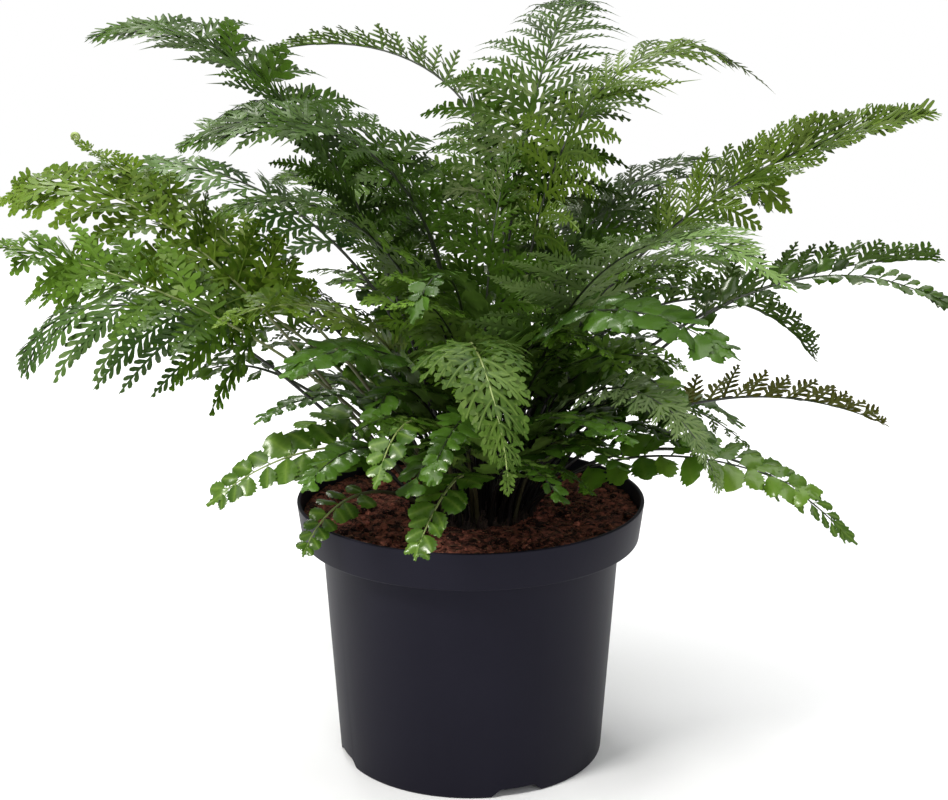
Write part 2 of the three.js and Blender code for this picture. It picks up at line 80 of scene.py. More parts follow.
# Every frond's rib starts on a ring round this point of the crown. Its buried foot goes down by
# STEM_DEPTH, and its curve is worked out in RIB_STEPS.
STEM_CENTRE = Vector((4 * MM, 0, 126.6 * MM))
STEM_DEPTH = 9 * MM
RIB_STEPS = 40

# ---- Tables ----

# ring: distance of the stem from the crown's middle, in millimetres. heading: compass of stem and
# frond, 0 to the viewer's right and 90 away. rise: steepness at the base. droop and swing: how far
# the rib bends down and round by its tip, later in its length as late grows. length and reach: of
# the rib and of its longest leaflet, in millimetres. bare: share of the rib with no leaflets.
# roll: how far the blade turns on its edge. form: how its leaflets are cut. finish: their colour.
# rachis: the colour of its rib. fold: how far both rows of leaflets stand up. All angles are in degrees.
FROND_KEYS = (
    "name", "ring", "heading", "rise", "droop", "swing", "late", "length", "reach", "bare", "roll", "form",
    "finish", "rachis", "fold",
)
USUAL_FROND = {"rachis": "dark", "fold": 0}
CUT_FRONDS = (
    ("crest", 8, 62, 82, 104, 24, 2.6, 322, 72, 0.44, 0, "feather", "deep"),
    ("crest_right", 14, 16, 86, 130, 12, 3.5, 289, 68, 0.45, 10, "feather", "olive"),
    ("thin_arch", 15, 62, 86, 102, 125, 1.4, 342, 24, 0.56, 10, "comb", "grey", "dark", 45),
    ("high_left", 8, 181, 74, 99, -25, 3.1, 322, 82, 0.4, -14, "sprays", "deep"),
    ("left_sweep", 14, 238, 88, 122, -55, 2.2, 288, 66, 0.5, -18, "sprays", "deep"),
    ("blue_left", 20, 149, 86, 98, 21, 1.1, 278, 46, 0.48, -15, "lobes", "blue"),
    ("low_left", 29, 180, 46, 114, -8, 3, 241, 52, 0.5, -22, "fingers", "blue", "dark", -12),
    ("far_right", 14, 352, 84, 76, 12, 0.9, 296, 34, 0.5, 35, "band", "olive", "dark", 15),
    ("right_arm", 20, 0, 68, 70, 0, 0.9, 249, 32, 0.5, 0, "ladder", "deep", "dark", 50),
    ("right_drop", 21, 19, 85, 142, -8, 1.2, 222, 28, 0.45, 0, "ladder", "deep", "dark", 55),
    ("right_low", 27, 8, 52, 78, -6, 0.9, 194, 26, 0.45, 0, "ladder", "rusty", "dark", 50),
    ("olive", 20, 308, 66, 135, 3, 1.7, 192, 20, 0.35, 18, "plume", "silver"),
    ("bright", 14, 312, 74, 93, 0, 2, 236, 74, 0.38, 0, "plume", "sheen"),
    ("front_drop", 20, 263, 75, 160, 32, 1.8, 232, 38, 0.4, 0, "lobes", "grey", "pale"),
    ("mid_left", 14, 215, 87, 112, -8, 2, 234, 52, 0.45, 0, "feather", "mid"),
    ("heart", 3, 73, 86, 44, -30, 3.2, 188, 48, 0.45, 0, "feather", "deep"),
    ("back_right", 18, 22, 86, 110, 14, 2, 238, 56, 0.45, 0, "feather", "deep"),
    ("shade_right", 20, 34, 82, 131, -10, 2, 255, 58, 0.45, 0, "feather", "deep"),
    ("roof_left", 9, 135, 86, 140, 34, 2.3, 296, 58, 0.45, 0, "feather", "deep"),
    ("back_tall", 14, 92, 82, 92, -8, 1.6, 268, 56, 0.4, 0, "feather", "mid"),
    ("back_left", 20, 120, 72, 98, 6, 1.6, 262, 54, 0.4, 0, "band", "mid"),
    ("back_mid", 20, 72, 70, 104, 6, 1.6, 250, 54, 0.4, 0, "feather", "mid"),
    ("back_low_left", 26, 142, 58, 98, 4, 1.6, 234, 50, 0.4, 0, "fingers", "deep"),
    ("back_low_right", 26, 50, 60, 100, -6, 1.6, 240, 50, 0.4, 0, "fingers", "mid"),
)
YOUNG_FRONDS = (
    ("curl_left", 20, 180, 66, 38, -4, 0.9, 250, 34, 0.45, -25, "wedges", "young", "pale"),
    ("lace_upper", 26, 186, 53, 93, -40, 4, 276, 54, 0.42, -32, "wedges", "young", "pale"),
    ("lace_mid", 20, 200, 58, 44, -2, 0.9, 256, 54, 0.48, -30, "wedges", "mid", "pale"),
    ("lace_back", 14, 166, 52, 88, -4, 1.8, 270, 54, 0.42, -24, "wedges", "mid", "pale"),
    ("right_fork", 27, 350, 58, 92, 0, 2.1, 245, 30, 0.5, 32, "spoons", "deep", "dark", 20),
    ("young_mid", 21, 220, 85, 107, -2, 1.4, 196, 32, 0.45, 0, "wedges", "young", "pale"),
    ("back_young", 27, 102, 52, 96, 0, 1.6, 206, 42, 0.42, 0, "wedges", "young", "pale"),
)
BROAD_FRONDS = (
    ("scrap_left", 25, 168, 44, 82, -5, 3, 145, 14, 0.7, -20, "leaflets", "mid"),
    ("skirt_right", 26, 322, 52, 77, 22, 0.9, 158, 23, 0.3, 28, "leaflets", "light"),
    ("trail_right", 27, 338, 56, 104, 4, 0.9, 176, 29, 0.5, 38, "spoons", "fresh"),
    ("gloss_right", 21, 287, 86, 117, 44, 1.3, 221, 31, 0.37, 14, "leaflets", "glossy"),
    ("gloss_left", 21, 240, 85, 110, -22, 1.4, 167, 28, 0.4, -8, "leaflets", "glossy"),
    ("skirt_left", 27, 232, 72, 112, -38, 0.9, 144, 26, 0.4, -34, "coins", "fresh", "pale"),
    ("upper_skirt", 26, 218, 85, 134, -25, 1.3, 112, 21, 0.35, -22, "leaflets", "fresh", "pale"),
    ("star_front", 26, 250, 66, 118, 3, 1.8, 143, 21, 0.45, 0, "coins", "fresh", "pale"),
    ("rim_left", 28, 206, 46, 88, 40, 0.9, 90, 16, 0.45, -20, "coins", "fresh", "pale"),
    ("rim_front", 27, 268, 72, 118, -24, 0.9, 120, 19, 0.45, 0, "leaflets", "fresh", "pale"),
    ("gloss_mid", 14, 258, 84, 150, -14, 3.3, 182, 17, 0.55, 0, "leaflets", "glossy"),
    ("gloss_low", 21, 328, 80, 128, -18, 1.9, 142, 26, 0.4, 24, "leaflets", "fresh"),
    ("skirt_front", 27, 302, 84, 104, 10, 0.9, 104, 23, 0.35, 0, "leaflets", "glossy"),
    ("back_skirt_left", 27, 124, 56, 104, 8, 1.2, 146, 26, 0.35, 0, "leaflets", "glossy"),
    ("back_skirt_mid", 27, 82, 58, 112, 0, 1.2, 138, 24, 0.35, 0, "leaflets", "fresh"),
    ("back_skirt_right", 27, 30, 54, 100, -6, 1.2, 146, 24, 0.35, 0, "leaflets", "glossy"),
)

# How each form's leaflets sit along the rib. spacing: from one pair to the next, in millimetres.
# lift: how far a leaflet rises before it sags to sag, and forward: how far it bends to the frond's
# tip, as shares of its length. sweep: how far leaflets lean to that tip at the blade's foot and at
# its end, and back: how much less the right-hand row leans. roll and loose: the most that a leaflet
# turns on its axis, and stands up or hangs, by chance. All these angles are in degrees. twist: the
# most that it turns along its length. taper: how soon leaflets shorten to the tip, 0 for never.
# size: their length as a share of the reach.
FORM_KEYS = ("spacing", "lift", "sag", "forward", "sweep", "back", "roll", "loose", "twist", "taper", "size")
FORMS = keyed(FORM_KEYS, {
    "feather": (7.2, 0.2, 0.32, 0.1, (22, 50), 0, 14, 8, 0.28, 0.65, 1),
    "sprays": (9.0, 0.14, 0.2, 0.02, (50, 60), 64, 16, 8, 0.28, 0.65, 1),
    "comb": (9.5, 0.08, 0.1, 0.1, (24, 42), 0, 10, 8, 0.28, 0.4, 1),
    "band": (6.4, 0.1, 0.12, 0.12, (34, 58), 0, 26, 8, 0.28, 0.6, 1),
    "plume": (6.4, 0.18, 0.06, 0.1, (16, 50), 0, 14, 8, 0.28, 0.65, 1),
    "ladder": (10, 0.1, 0.3, 0.1, (24, 46), 0, 14, 8, 0.28, 0.4, 0.8),
    "fingers": (10, 0.12, 0.34, 0.1, (24, 50), 0, 18, 8, 0.28, 0.65, 1),
    "lobes": (9.4, 0.14, 0.34, 0.1, (26, 48), 0, 22, 8, 0.28, 0.8, 1),
    "wedges": (10, 0.16, 0.12, 0.05, (24, 50), 0, 40, 22, 0.7, 0.65, 1),
    "leaflets": (9.8, 0.12, 0.06, 0.04, (18, 44), 0, 26, 8, 0.28, 0.65, 0.94),
    "coins": (9.4, 0.12, 0.04, 0.04, (14, 36), 0, 22, 8, 0.28, 0.65, 0.75),
    "spoons": (7.6, 0.1, 0.06, 0.1, (34, 50), 0, 30, 8, 0.28, 0.65, 0.55),
})

# How the leaflets of cut forms are cut. pitch: from one tooth to the next, in millimetres. front and
# rear: length of the teeth on either side, and width: theirs, as shares of the pitch. lean: how far
# teeth point to the leaflet's tip, in degrees. thread: bare share at that tip. wing: half width of
# the green along the leaflet's own rib, as a share of the pitch. teeth: their kinds, drawn by lot.
CUT_KEYS = ("pitch", "front", "rear", "width", "lean", "thread", "wing", "teeth")
CUTS = keyed(CUT_KEYS, {
    "feather": (5.3, 2.0, 1.05, 0.54, 54, 0.18, 0.19, ("forked", "forked", "needle")),
    "sprays": (5.8, 2.9, 1.5, 0.78, 54, 0.16, 0.28, ("forked", "forked", "needle")),
    "comb": (4.0, 2.5, 0.9, 0.46, 42, 0.02, 0.2, ("needle", "round")),
    "band": (3.6, 3.3, 2.2, 0.66, 52, 0.02, 0.3, ("needle", "round", "forked")),
    "plume": (4.2, 2.5, 2.1, 0.7, 56, 0.1, 0.3, ("needle", "needle", "forked")),
    "ladder": (3.4, 2.2, 1.8, 0.66, 40, 0.03, 0.28, ("needle", "round")),
    "fingers": (3.7, 2.6, 2.45, 0.8, 38, 0.03, 0.26, ("round",)),
    "lobes": (5.4, 1.75, 1.6, 0.8, 44, 0.02, 0.24, ("lobed", "needle", "lobed")),
    "wedges": (6.3, 1.6, 1.5, 0.94, 40, 0.02, 0.12, ("lobed", "lobed", "forked")),
})
# The leaflet shapes of the broad forms, drawn by lot.
BROAD_FORMS = {
    "leaflets": ("ovate", "ovate", "round"),
    "coins": ("round",),
    "spoons": ("spoon",),
}
# Leaflets nearer the crown are fuller: this cut takes over below this share of the blade.
FULLER = {"feather": ("lobes", 0.34), "sprays": ("lobes", 0.3), "plume": ("lobes", 0.1)}
# The numbers of teeth to a side that leaf templates come in, and the templates of each kind.
TOOTH_COUNTS = (3, 4, 5, 7, 9, 12, 16)
LEAF_VARIANTS = 3

# Single leaflets that stand out of the blade: place on the rib, turn round the rib from the
# right-hand row and over its upper face, lean to the tip, length in millimetres, and cut.
STRAYS = {
    "far_right": (
        (0.77, 118, 42, 23, "lobes"), (0.73, 132, 12, 15, "wedges"),
        (0.69, -48, 26, 22, "wedges"), (0.62, -40, 30, 26, "fingers"),
    ),
    "bright": ((0.96, -12, 78, 40, "plume"),),
    "crest_right": ((0.97, 20, 80, 34, "feather"), (0.7, -10, 34, 62, "feather")),
    "high_left": ((0.76, 40, 40, 24, "wedges"), (0.7, 60, 20, 22, "wedges")),
}

# The shape of a tooth. rows: how far out each row lies, as a share of its length, its half width, as
# a share of the greatest, and how far its middle leads. prongs: the first two of these for its two
# prongs, if any, which turn away from each other by splay, in degrees.
TEETH = keyed(("rows", "prongs", "splay"), {
    "needle": (((0.5, 0.85, 0), (0.95, 0.16, 0.05)), (), 0),
    "round": (((0.55, 1.0, 0), (0.95, 0.62, 0.07)), (), 0),
    "forked": (((0.48, 0.9, 0),), ((1.0, 0.24),), 13),
    "lobed": (((0.42, 0.95, 0),), ((0.76, 0.6), (1.06, 0.2)), 17),
})

# Broad leaflets. half: their greatest half width. crenate: depth of the teeth. blunt: how square the
# outline is at its ends, as it nears 0. fan: above 1 they are widest in their outer half. oblique: how
# much wider the front of the foot is. All are shares of the length. teeth: on either side.
BROAD_SHAPES = keyed(("half", "crenate", "blunt", "fan", "oblique", "teeth"), {
    "ovate": (0.32, 0.1, 0.75, 0.95, 0.25, 6),
    "round": (0.41, 0.1, 0.52, 1.18, 0.12, 5),
    "spoon": (0.24, 0.12, 0.8, 1.7, 0.1, 4),
    "tip": (0.2, 0.16, 0.85, 0.85, 0.0, 6),
})

# Short fronds among the others, in three tiers. first: compass of the first one; each next one turns
# by the golden angle. Pairs are the least and the greatest, and looks are form, finish and rachis.
TIER_KEYS = ("name", "count", "first", "ring", "rise", "droop", "length", "reach", "bare", "looks")
TIERS = (
    (
        "low", 24, 20, (20, 28), (58, 78), (85, 105), (85, 130), (14, 19), 0.3,
        (("leaflets", "glossy"), ("leaflets", "fresh", "pale"), ("lobes", "deep")),
    ),
    (
        "middle", 30, 75, (12, 22), (74, 86), (85, 120), (125, 170), (18, 24), 0.34,
        (("leaflets", "glossy"), ("leaflets", "glossy"), ("lobes", "deep")),
    ),
    (
        "upper", 18, 130, (4, 14), (80, 88), (75, 110), (145, 180), (26, 36), 0.36,
        (("lobes", "mid"), ("wedges", "mid"), ("lobes", "light")),
    ),
)
GOLDEN_ANGLE = 137.508
# The compass range where the stems stand bare.
BARE_SIDE = (168, 214)

# Colours in linear light: upper face dark and light, underside, and the veins.
FINISHES = {
    "deep": ((0.006, 0.020, 0.0015), (0.052, 0.117, 0.008), (0.048, 0.095, 0.013), (0.024, 0.045, 0.004)),
    "mid": ((0.008, 0.028, 0.0015), (0.114, 0.222, 0.020), (0.082, 0.152, 0.019), (0.044, 0.085, 0.006)),
    "light": ((0.042, 0.115, 0.008), (0.158, 0.285, 0.028), (0.146, 0.240, 0.040), (0.116, 0.206, 0.024)),
    "sheen": ((0.074, 0.150, 0.030), (0.130, 0.218, 0.050), (0.134, 0.208, 0.058), (0.164, 0.244, 0.068)),
    "young": ((0.011, 0.036, 0.002), (0.120, 0.206, 0.014), (0.116, 0.180, 0.022), (0.176, 0.245, 0.036)),
    "olive": ((0.012, 0.036, 0.003), (0.108, 0.178, 0.014), (0.095, 0.145, 0.024), (0.080, 0.122, 0.016)),
    "blue": ((0.015, 0.048, 0.011), (0.104, 0.196, 0.042), (0.088, 0.148, 0.036), (0.056, 0.096, 0.020)),
    "grey": ((0.012, 0.040, 0.004), (0.080, 0.144, 0.020), (0.094, 0.154, 0.030), (0.156, 0.230, 0.050)),
    "silver": ((0.058, 0.100, 0.030), (0.146, 0.212, 0.074), (0.144, 0.200, 0.080), (0.205, 0.275, 0.120)),
    "rusty": ((0.016, 0.034, 0.003), (0.082, 0.088, 0.008), (0.074, 0.084, 0.012), (0.084, 0.034, 0.007)),
    "glossy": ((0.004, 0.019, 0.0015), (0.080, 0.182, 0.018), (0.082, 0.155, 0.022), (0.050, 0.114, 0.010)),
    "fresh": ((0.016, 0.058, 0.004), (0.094, 0.186, 0.018), (0.130, 0.214, 0.036), (0.186, 0.296, 0.046)),
}
# A rib's colour at its foot and at its tip.
RACHIS = {
    "dark": ((0.005, 0.004, 0.003), (0.022, 0.036, 0.010)),
    "pale": ((0.034, 0.030, 0.012), (0.290, 0.370, 0.110)),
}

# The least and the greatest of what chance gives: shares, but degrees for the leaflets' sweep, the
# teeth's lean and the inner fronds' swing and roll, radians for the compass and the fibres' bend, and
# millimetres for the length and radius of fibres and scales.
CHANCE = {
    "leaflet step": (-0.16, 0.16), "leaflet sweep": (-6, 6), "leaflet roll": (-1, 1),
    "leaflet length": (0.86, 1.06), "leaflet lift": (0.6, 1.4), "leaflet width": (0.92, 1.12),
    "leaflet twist": (-1, 1), "fuller limit": (0.7, 1.2), "tip tone": (0.4, 1),
    "tooth length": (0.86, 1.12), "tooth lean": (-7, 7), "tooth tilt": (-0.18, 0.26),
    "prong length": (0.86, 1.08), "broad cup": (0.1, 0.35), "broad ripple": (0.02, 0.045),
    "broad turn": (-0.1, 0.1), "inner swing": (-30, 30), "inner late": (1, 2), "inner roll": (-12, 12),
    "compass": (0, math.tau), "crumb noise": (-9, 9), "crumb length": (0.7, 1.5),
    "crumb width": (0.6, 1.1), "crumb height": (0.4, 0.8), "fibre steepness": (-0.1, 0.35),
    "fibre bend": (-1.4, 1.4), "fibre length": (4, 11), "fibre radius": (0.16, 0.38),
    "scale length": (4, 9), "scale lean": (0.1, 0.9), "scale aside": (-0.5, 0.5),
}


def chance(draw, what):
    return draw.uniform(*CHANCE[what])


def between(ends, share):
    """The number at this share of the way from the first of two ends to the second."""
    first, second = ends
    return first + (second - first) * share


def frond_from(row):
    return {**USUAL_FROND, **dict(zip(FROND_KEYS, row))}


# ---- Shader building ----


class Link:
    """A socket of a material's node tree: arithmetic on it adds Math nodes, and node() adds any other."""

    def __init__(self, tree, socket=None):
        self.tree = tree
        self.socket = socket

    def node(self, kind, settings=None, sockets=None, output=0):
        made = self.tree.nodes.new(kind)
        for name, value in (settings or {}).items():
            setattr(made, name, value)
        for name, value in (sockets or {}).items():
            if isinstance(value, Link):
                self.tree.links.new(value.socket, made.inputs[name])
            else:
                made.inputs[name].default_value = value
        return Link(self.tree, made.outputs[output] if made.outputs else None)

    def maths(self, operation, *values):
        return self.node("ShaderNodeMath", {"operation": operation}, dict(enumerate(values)))

    def __add__(self, other):
        return self.maths("ADD", self, other)

    def __sub__(self, other):
        return self.maths("SUBTRACT", self, other)

    def __rsub__(self, other):
        return self.maths("SUBTRACT", other, self)

    def __mul__(self, other):
        return self.maths("MULTIPLY", self, other)

    def __pow__(self, other):
        return self.maths("POWER", self, other)

    __radd__ = __add__
    __rmul__ = __mul__

    def limited(self):
        return self.node("ShaderNodeClamp", sockets={"Value": self})


def blended(share, first, second):
    """A colour between first and second; either may be a colour or a Link."""
    first, second = (value if isinstance(value, Link) else (*value, 1) for value in (first, second))
    return share.node("ShaderNodeMix", {"data_type": "RGBA"}, {0: share, 6: first, 7: second}, output=2)


def speckle(paint, scale, detail=2.0, rough=0.5, stretch=None):
    """Noise from 0 to 1 fixed to the piece, with features about 1 / scale metres wide."""
    place = paint.node("ShaderNodeTexCoord", output="Object")
    if stretch:
        place = paint.node("ShaderNodeMapping", sockets={"Vector": place, "Scale": stretch})
    return paint.node(
        "ShaderNodeTexNoise",
        sockets={"Vector": place, "Scale": scale, "Detail": detail, "Roughness": rough},
    )


def attribute(paint, name):
    return paint.node("ShaderNodeAttribute", {"attribute_name": name}, output="Fac")


def bump(paint, height, strength, depth):
    """A bump of this height, whose full depth is in millimetres."""
    sockets = {"Height": height, "Strength": strength, "Distance": depth * MM}
    return paint.node("ShaderNodeBump", sockets=sockets)


def new_material(name):
    """An empty material and the Link from which its nodes start."""
    made = bpy.data.materials.new(name)
    made.use_nodes = True
    made.node_tree.nodes.clear()
    return made, Link(made.node_tree)


def principled(paint, **sockets):
    names = {name.replace("_", " "): value for name, value in sockets.items()}
    return paint.node("ShaderNodeBsdfPrincipled", sockets=names)


def finished(made, paint, **sockets):
    """Gives the material one principled shader with these sockets."""
    paint.node("ShaderNodeOutputMaterial", sockets={"Surface": principled(paint, **sockets)})
    return made


def leaf_material(name, dark, light, vein, roughness, coat, through):
    """A leaf face: its tone varies from leaflet to leaflet, by chance and as painted shade that darkens those
    near the crown, and in soft patches, with veins drawn along it.
    """
    made, paint = new_material(name)
    patches = speckle(paint, scale=45, detail=3.0)
    fine = speckle(paint, scale=420)
    # The tone attribute carries painted shade: leaflets near the crown are darker.
    share = (attribute(paint, "tone") * 0.95 + patches * 0.44 + fine * 0.16 - 0.30).limited()
    veins = attribute(paint, "vein") ** 2.5
    shader = principled(
        paint,
        Base_Color=blended(veins * 0.6, blended(share, dark, light), vein),
        Roughness=fine * 0.16 + (roughness - 0.08),
        Coat_Weight=coat,
        Coat_Roughness=0.2,
        Specular_IOR_Level=0.17,
        Specular_Tint=(1.0, 1.0, 0.6, 1.0),
        Normal=bump(paint, veins * 0.5 + fine * 0.5, strength=0.35, depth=0.4),
    )
    glow = paint.node("ShaderNodeBsdfTranslucent", sockets={"Color": (*through, 1)})
    both = paint.node("ShaderNodeMixShader", sockets={0: 0.14, 1: shader, 2: glow})
    paint.node("ShaderNodeOutputMaterial", sockets={"Surface": both})
    return made


def rachis_material(name, foot, tip):
    """A rib: near black at its foot and greener to its tip, with lengthwise streaks."""
    made, paint = new_material(name)
    streaks = speckle(paint, scale=260, stretch=(1, 1, 0.2))
    share = (attribute(paint, "along") * 1.3 + streaks * 0.35 - 0.5).limited()
    return finished(
        made,
        paint,
        Base_Color=blended(share, foot, tip),
        Roughness=streaks * 0.2 + 0.34,
        Normal=bump(paint, streaks, strength=0.4, depth=0.3),
    )


def pot_material():
    """Injection-moulded plastic: charcoal with a violet tint, satin, with faint cloudy rubbing."""
    made, paint = new_material("pot plastic")
    clouds = speckle(paint, scale=14, detail=4.0, rough=0.6)
    grain = speckle(paint, scale=900)
    scuffs = speckle(paint, scale=60, detail=5.0, rough=0.7, stretch=(1, 1, 0.12))
    share = (clouds * 0.8 + scuffs * 0.35 - 0.1).limited()
    return finished(
        made,
        paint,
        Base_Color=blended(share, (0.0062, 0.0058, 0.0100), (0.0115, 0.0108, 0.0175)),
        Roughness=clouds * 0.10 + scuffs * 0.08 + 0.38,
        Specular_IOR_Level=0.1,
        Specular_Tint=(0.78, 0.78, 1.0, 1.0),
        Normal=bump(paint, grain, strength=0.12, depth=0.2),
    )


def peat_material():
    """Damp peat: nearly black, with red-brown bits."""
    made, paint = new_material("peat")
    lumps = speckle(paint, scale=240, detail=5.0, rough=0.7)
    bits = speckle(paint, scale=900, detail=3.0, rough=0.6)
    share = (lumps * 3.4 + attribute(paint, "tone") * 1.1 - 2.00).limited()
    ground = blended(share, (0.013, 0.0055, 0.0042), (0.380, 0.125, 0.084))
    return finished(
        made,
        paint,
        Base_Color=blended((bits * 5.0 - 3.0).limited() * 0.8, ground, (0.62, 0.31, 0.20)),
        Roughness=1.0 - speckle(paint, scale=30) * 0.3,
        Specular_IOR_Level=0.1,
        Normal=bump(paint, lumps + bits * 0.5, strength=0.9, depth=1.2),
    )


def fibre_material():
    """Short roots and peat fibres in red-brown."""
    made, paint = new_material("fibre")
    share = (speckle(paint, scale=150) * 0.7 + attribute(paint, "tone") * 0.6 - 0.2).limited()
    colour = blended(share, (0.035, 0.013, 0.007), (0.20, 0.095, 0.045))
    return finished(
        made, paint, Base_Color=colour, Roughness=0.85, Normal=bump(paint, share, strength=0.4, depth=0.3)
    )


def crown_material():
    """Matted rootstock: dark brown scales, mottled, some paler than others."""
    made, paint = new_material("crown scales")
    mat = speckle(paint, scale=320, detail=4.0, rough=0.65)
    share = (mat * 1.2 + attribute(paint, "tone") * 0.5 - 0.55).limited()
    colour = blended(share, (0.011, 0.006, 0.004), (0.065, 0.032, 0.016))
    return finished(
        made, paint, Base_Color=colour, Roughness=0.82, Normal=bump(paint, mat, strength=0.8, depth=0.8)
    )


def floor_material(colour):
    """Matt studio floor, clouded by one or two parts in a hundred."""
    made, paint = new_material("floor")
    tone = blended(speckle(paint, scale=1.5), [channel * 0.985 for channel in colour], colour)
    return finished(made, paint, Base_Color=tone, Roughness=0.9)


# ---- Meshes and pieces ----

# The places of the leaflets' underside and of the rib among a frond's materials.
UNDERSIDE = 1
RIB = 2


def add_piece(name, mesh, materials, slot, *nodes):
    """Links a finished mesh as a piece that rides on the root body and stands for these nodes."""
    if not mesh.polygons:
        raise RuntimeError(f"{name} came out with no faces")
    piece = bpy.data.objects.new(name, mesh)
    bpy.context.scene.collection.objects.link(piece)
    for made in materials:
        mesh.materials.append(made)
    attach(piece, "root")
    if nodes:
        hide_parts(*nodes)


def new_mesh(name, bm):
    mesh = bpy.data.meshes.new(name)
    bm.to_mesh(mesh)
    bm.free()
    return mesh


def new_bmesh(*layers):
    """An empty bmesh, followed by a number layer of its vertices for each of these names."""
    bm = bmesh.new()
    for name in layers:
        bm.verts.layers.float.new(name)
    return bm, *(bm.verts.layers.float[name] for name in layers)


def verts_of(geometry):
    return [item for item in geometry if isinstance(item, bmesh.types.BMVert)]


def faces_of(geometry):
    return [item for item in geometry if isinstance(item, bmesh.types.BMFace)]


def compass(degrees):
    """A level direction."""
    turn = math.radians(degrees)
    return Vector((math.cos(turn), math.sin(turn), 0))


def smoothed(bm):
    for face in bm.faces:
        face.smooth = True


def smooth_but_sharp(bm, degrees):
    """Shades the mesh smooth, apart from edges that turn by more than this."""
    smoothed(bm)
    for edge in bm.edges:
        if edge.is_manifold and edge.calc_face_angle(0) > math.radians(degrees):
            edge.smooth = False


def turned(bm, profile, steps):
    """Spins a profile of (radius, height) points round Z into a closed body."""
    verts = [bm.verts.new((radius, 0, height)) for radius, height in profile]
    edges = [bm.edges.new(pair) for pair in zip(verts, verts[1:])]
    bmesh.ops.spin(
        bm, geom=verts + edges, axis=UP, cent=(0, 0, 0), steps=steps, angle=math.tau, use_merge=True
    )
    bmesh.ops.remove_doubles(bm, verts=bm.verts, dist=1e-6)
    bmesh.ops.recalc_face_normals(bm, faces=bm.faces)


def smoothstep(share):
    share = min(max(share, 0), 1)
    return share * share * (3 - 2 * share)


# ---- Leaf templates ----


class Leaf:
    """A flat leaflet of unit length along X, closed by a second face under the first."""

    def __init__(self, name, bm):
        bmesh.ops.recalc_face_normals(bm, faces=bm.faces)
        if sum(face.normal.z for face in bm.faces) < 0:
            bmesh.ops.reverse_faces(bm, faces=bm.faces)
        self.close(bm)
        self.mesh = new_mesh(name, bm)
        count = len(self.mesh.vertices)
        places = np.zeros(count * 3)
        self.mesh.vertices.foreach_get("co", places)
        self.places = places.reshape(-1, 3)
        self.side = np.zeros(count, np.float32)
        self.mesh.attributes["side"].data.foreach_get("value", self.side)

    @staticmethod
    def close(bm):
        """Adds the lower face, which meets the upper one round the rim; the rim's edge is sharp."""
        side = bm.verts.layers.float.new("side")
        for vert in bm.verts:
            vert[side] = 0 if vert.is_boundary else 1
        copy = bmesh.ops.duplicate(bm, geom=bm.verts[:] + bm.edges[:] + bm.faces[:])["geom"]
        for vert in verts_of(copy):
            vert[side] *= -1
        for face in faces_of(copy):
            face.material_index = UNDERSIDE
        bmesh.ops.reverse_faces(bm, faces=faces_of(copy))
        bmesh.ops.remove_doubles(bm, verts=[vert for vert in bm.verts if vert.is_boundary], dist=1e-7)
        smoothed(bm)
        for edge in bm.edges:
            edge.smooth = len({face.material_index for face in edge.link_faces}) == 1


def extruded(bm, roots, places, vein, middle):
    """Extrudes the edges between these points and moves the new points to their places."""
    edges = [bm.edges.get(pair) for pair in zip(roots, roots[1:])]
    fresh = verts_of(bmesh.ops.extrude_edge_only(bm, edges=edges)["geom"])
    row = [min(fresh, key=lambda vert: (vert.co - root.co).length_squared) for root in roots]
    for index, (vert, place) in enumerate(zip(row, places)):
        vert.co = place
        vert[vein] = index == middle
    return row


def grow_tooth(bm, roots, shape, out, across, reach, half, vein, draw):
    """Grows a tooth from two edges of a leaflet's wing."""
    origin = roots[1].co.copy()
    for share, width, lead in shape["rows"]:
        places = [
            origin + out * (share + lead * (1 - abs(offset))) * reach + across * offset * width * half
            for offset in (-1, 0, 1)
        ]
        roots = extruded(bm, roots, places, vein, 1)
    split = shape["rows"][-1][0]
    for side, pair in ((-1, roots[:2]), (1, roots[1:])):
        angle = math.radians(shape["splay"]) * side
        ahead = out * math.cos(angle) + across * math.sin(angle)
        aside = across * math.cos(angle) - out * math.sin(angle)
        middle = (pair[0].co + pair[1].co) / 2
        length = reach * chance(draw, "prong length")
        for share, width in shape["prongs"]:
            centre = middle + ahead * (share - split) * length
            edge = aside * width * half
            pair = extruded(bm, pair, [centre - edge, centre + edge], vein, -1)


# A cut leaflet: grid columns to one tooth, and the first of them for the front and the rear row, so
# that teeth alternate. Its wing narrows by this share.
TOOTH_COLUMNS = 4
TOOTH_STARTS = {1: 0, -1: 2}
WING_NARROWING = 0.6
# Teeth start at TOOTH_FOOT of their full length, lengthen and then shorten to the tip, where they
# lean by MORE_LEAN degrees more; small ones are thinner. Leaflets of more than LONG_LEAF teeth have a
# smaller last one.
TOOTH_FOOT, TOOTH_GROWTH, TOOTH_TAPER = 0.7, 1.6, 0.55
MORE_LEAN = 8
THINNER = 0.4
LONG_LEAF = 5
LAST_TOOTH = 0.8


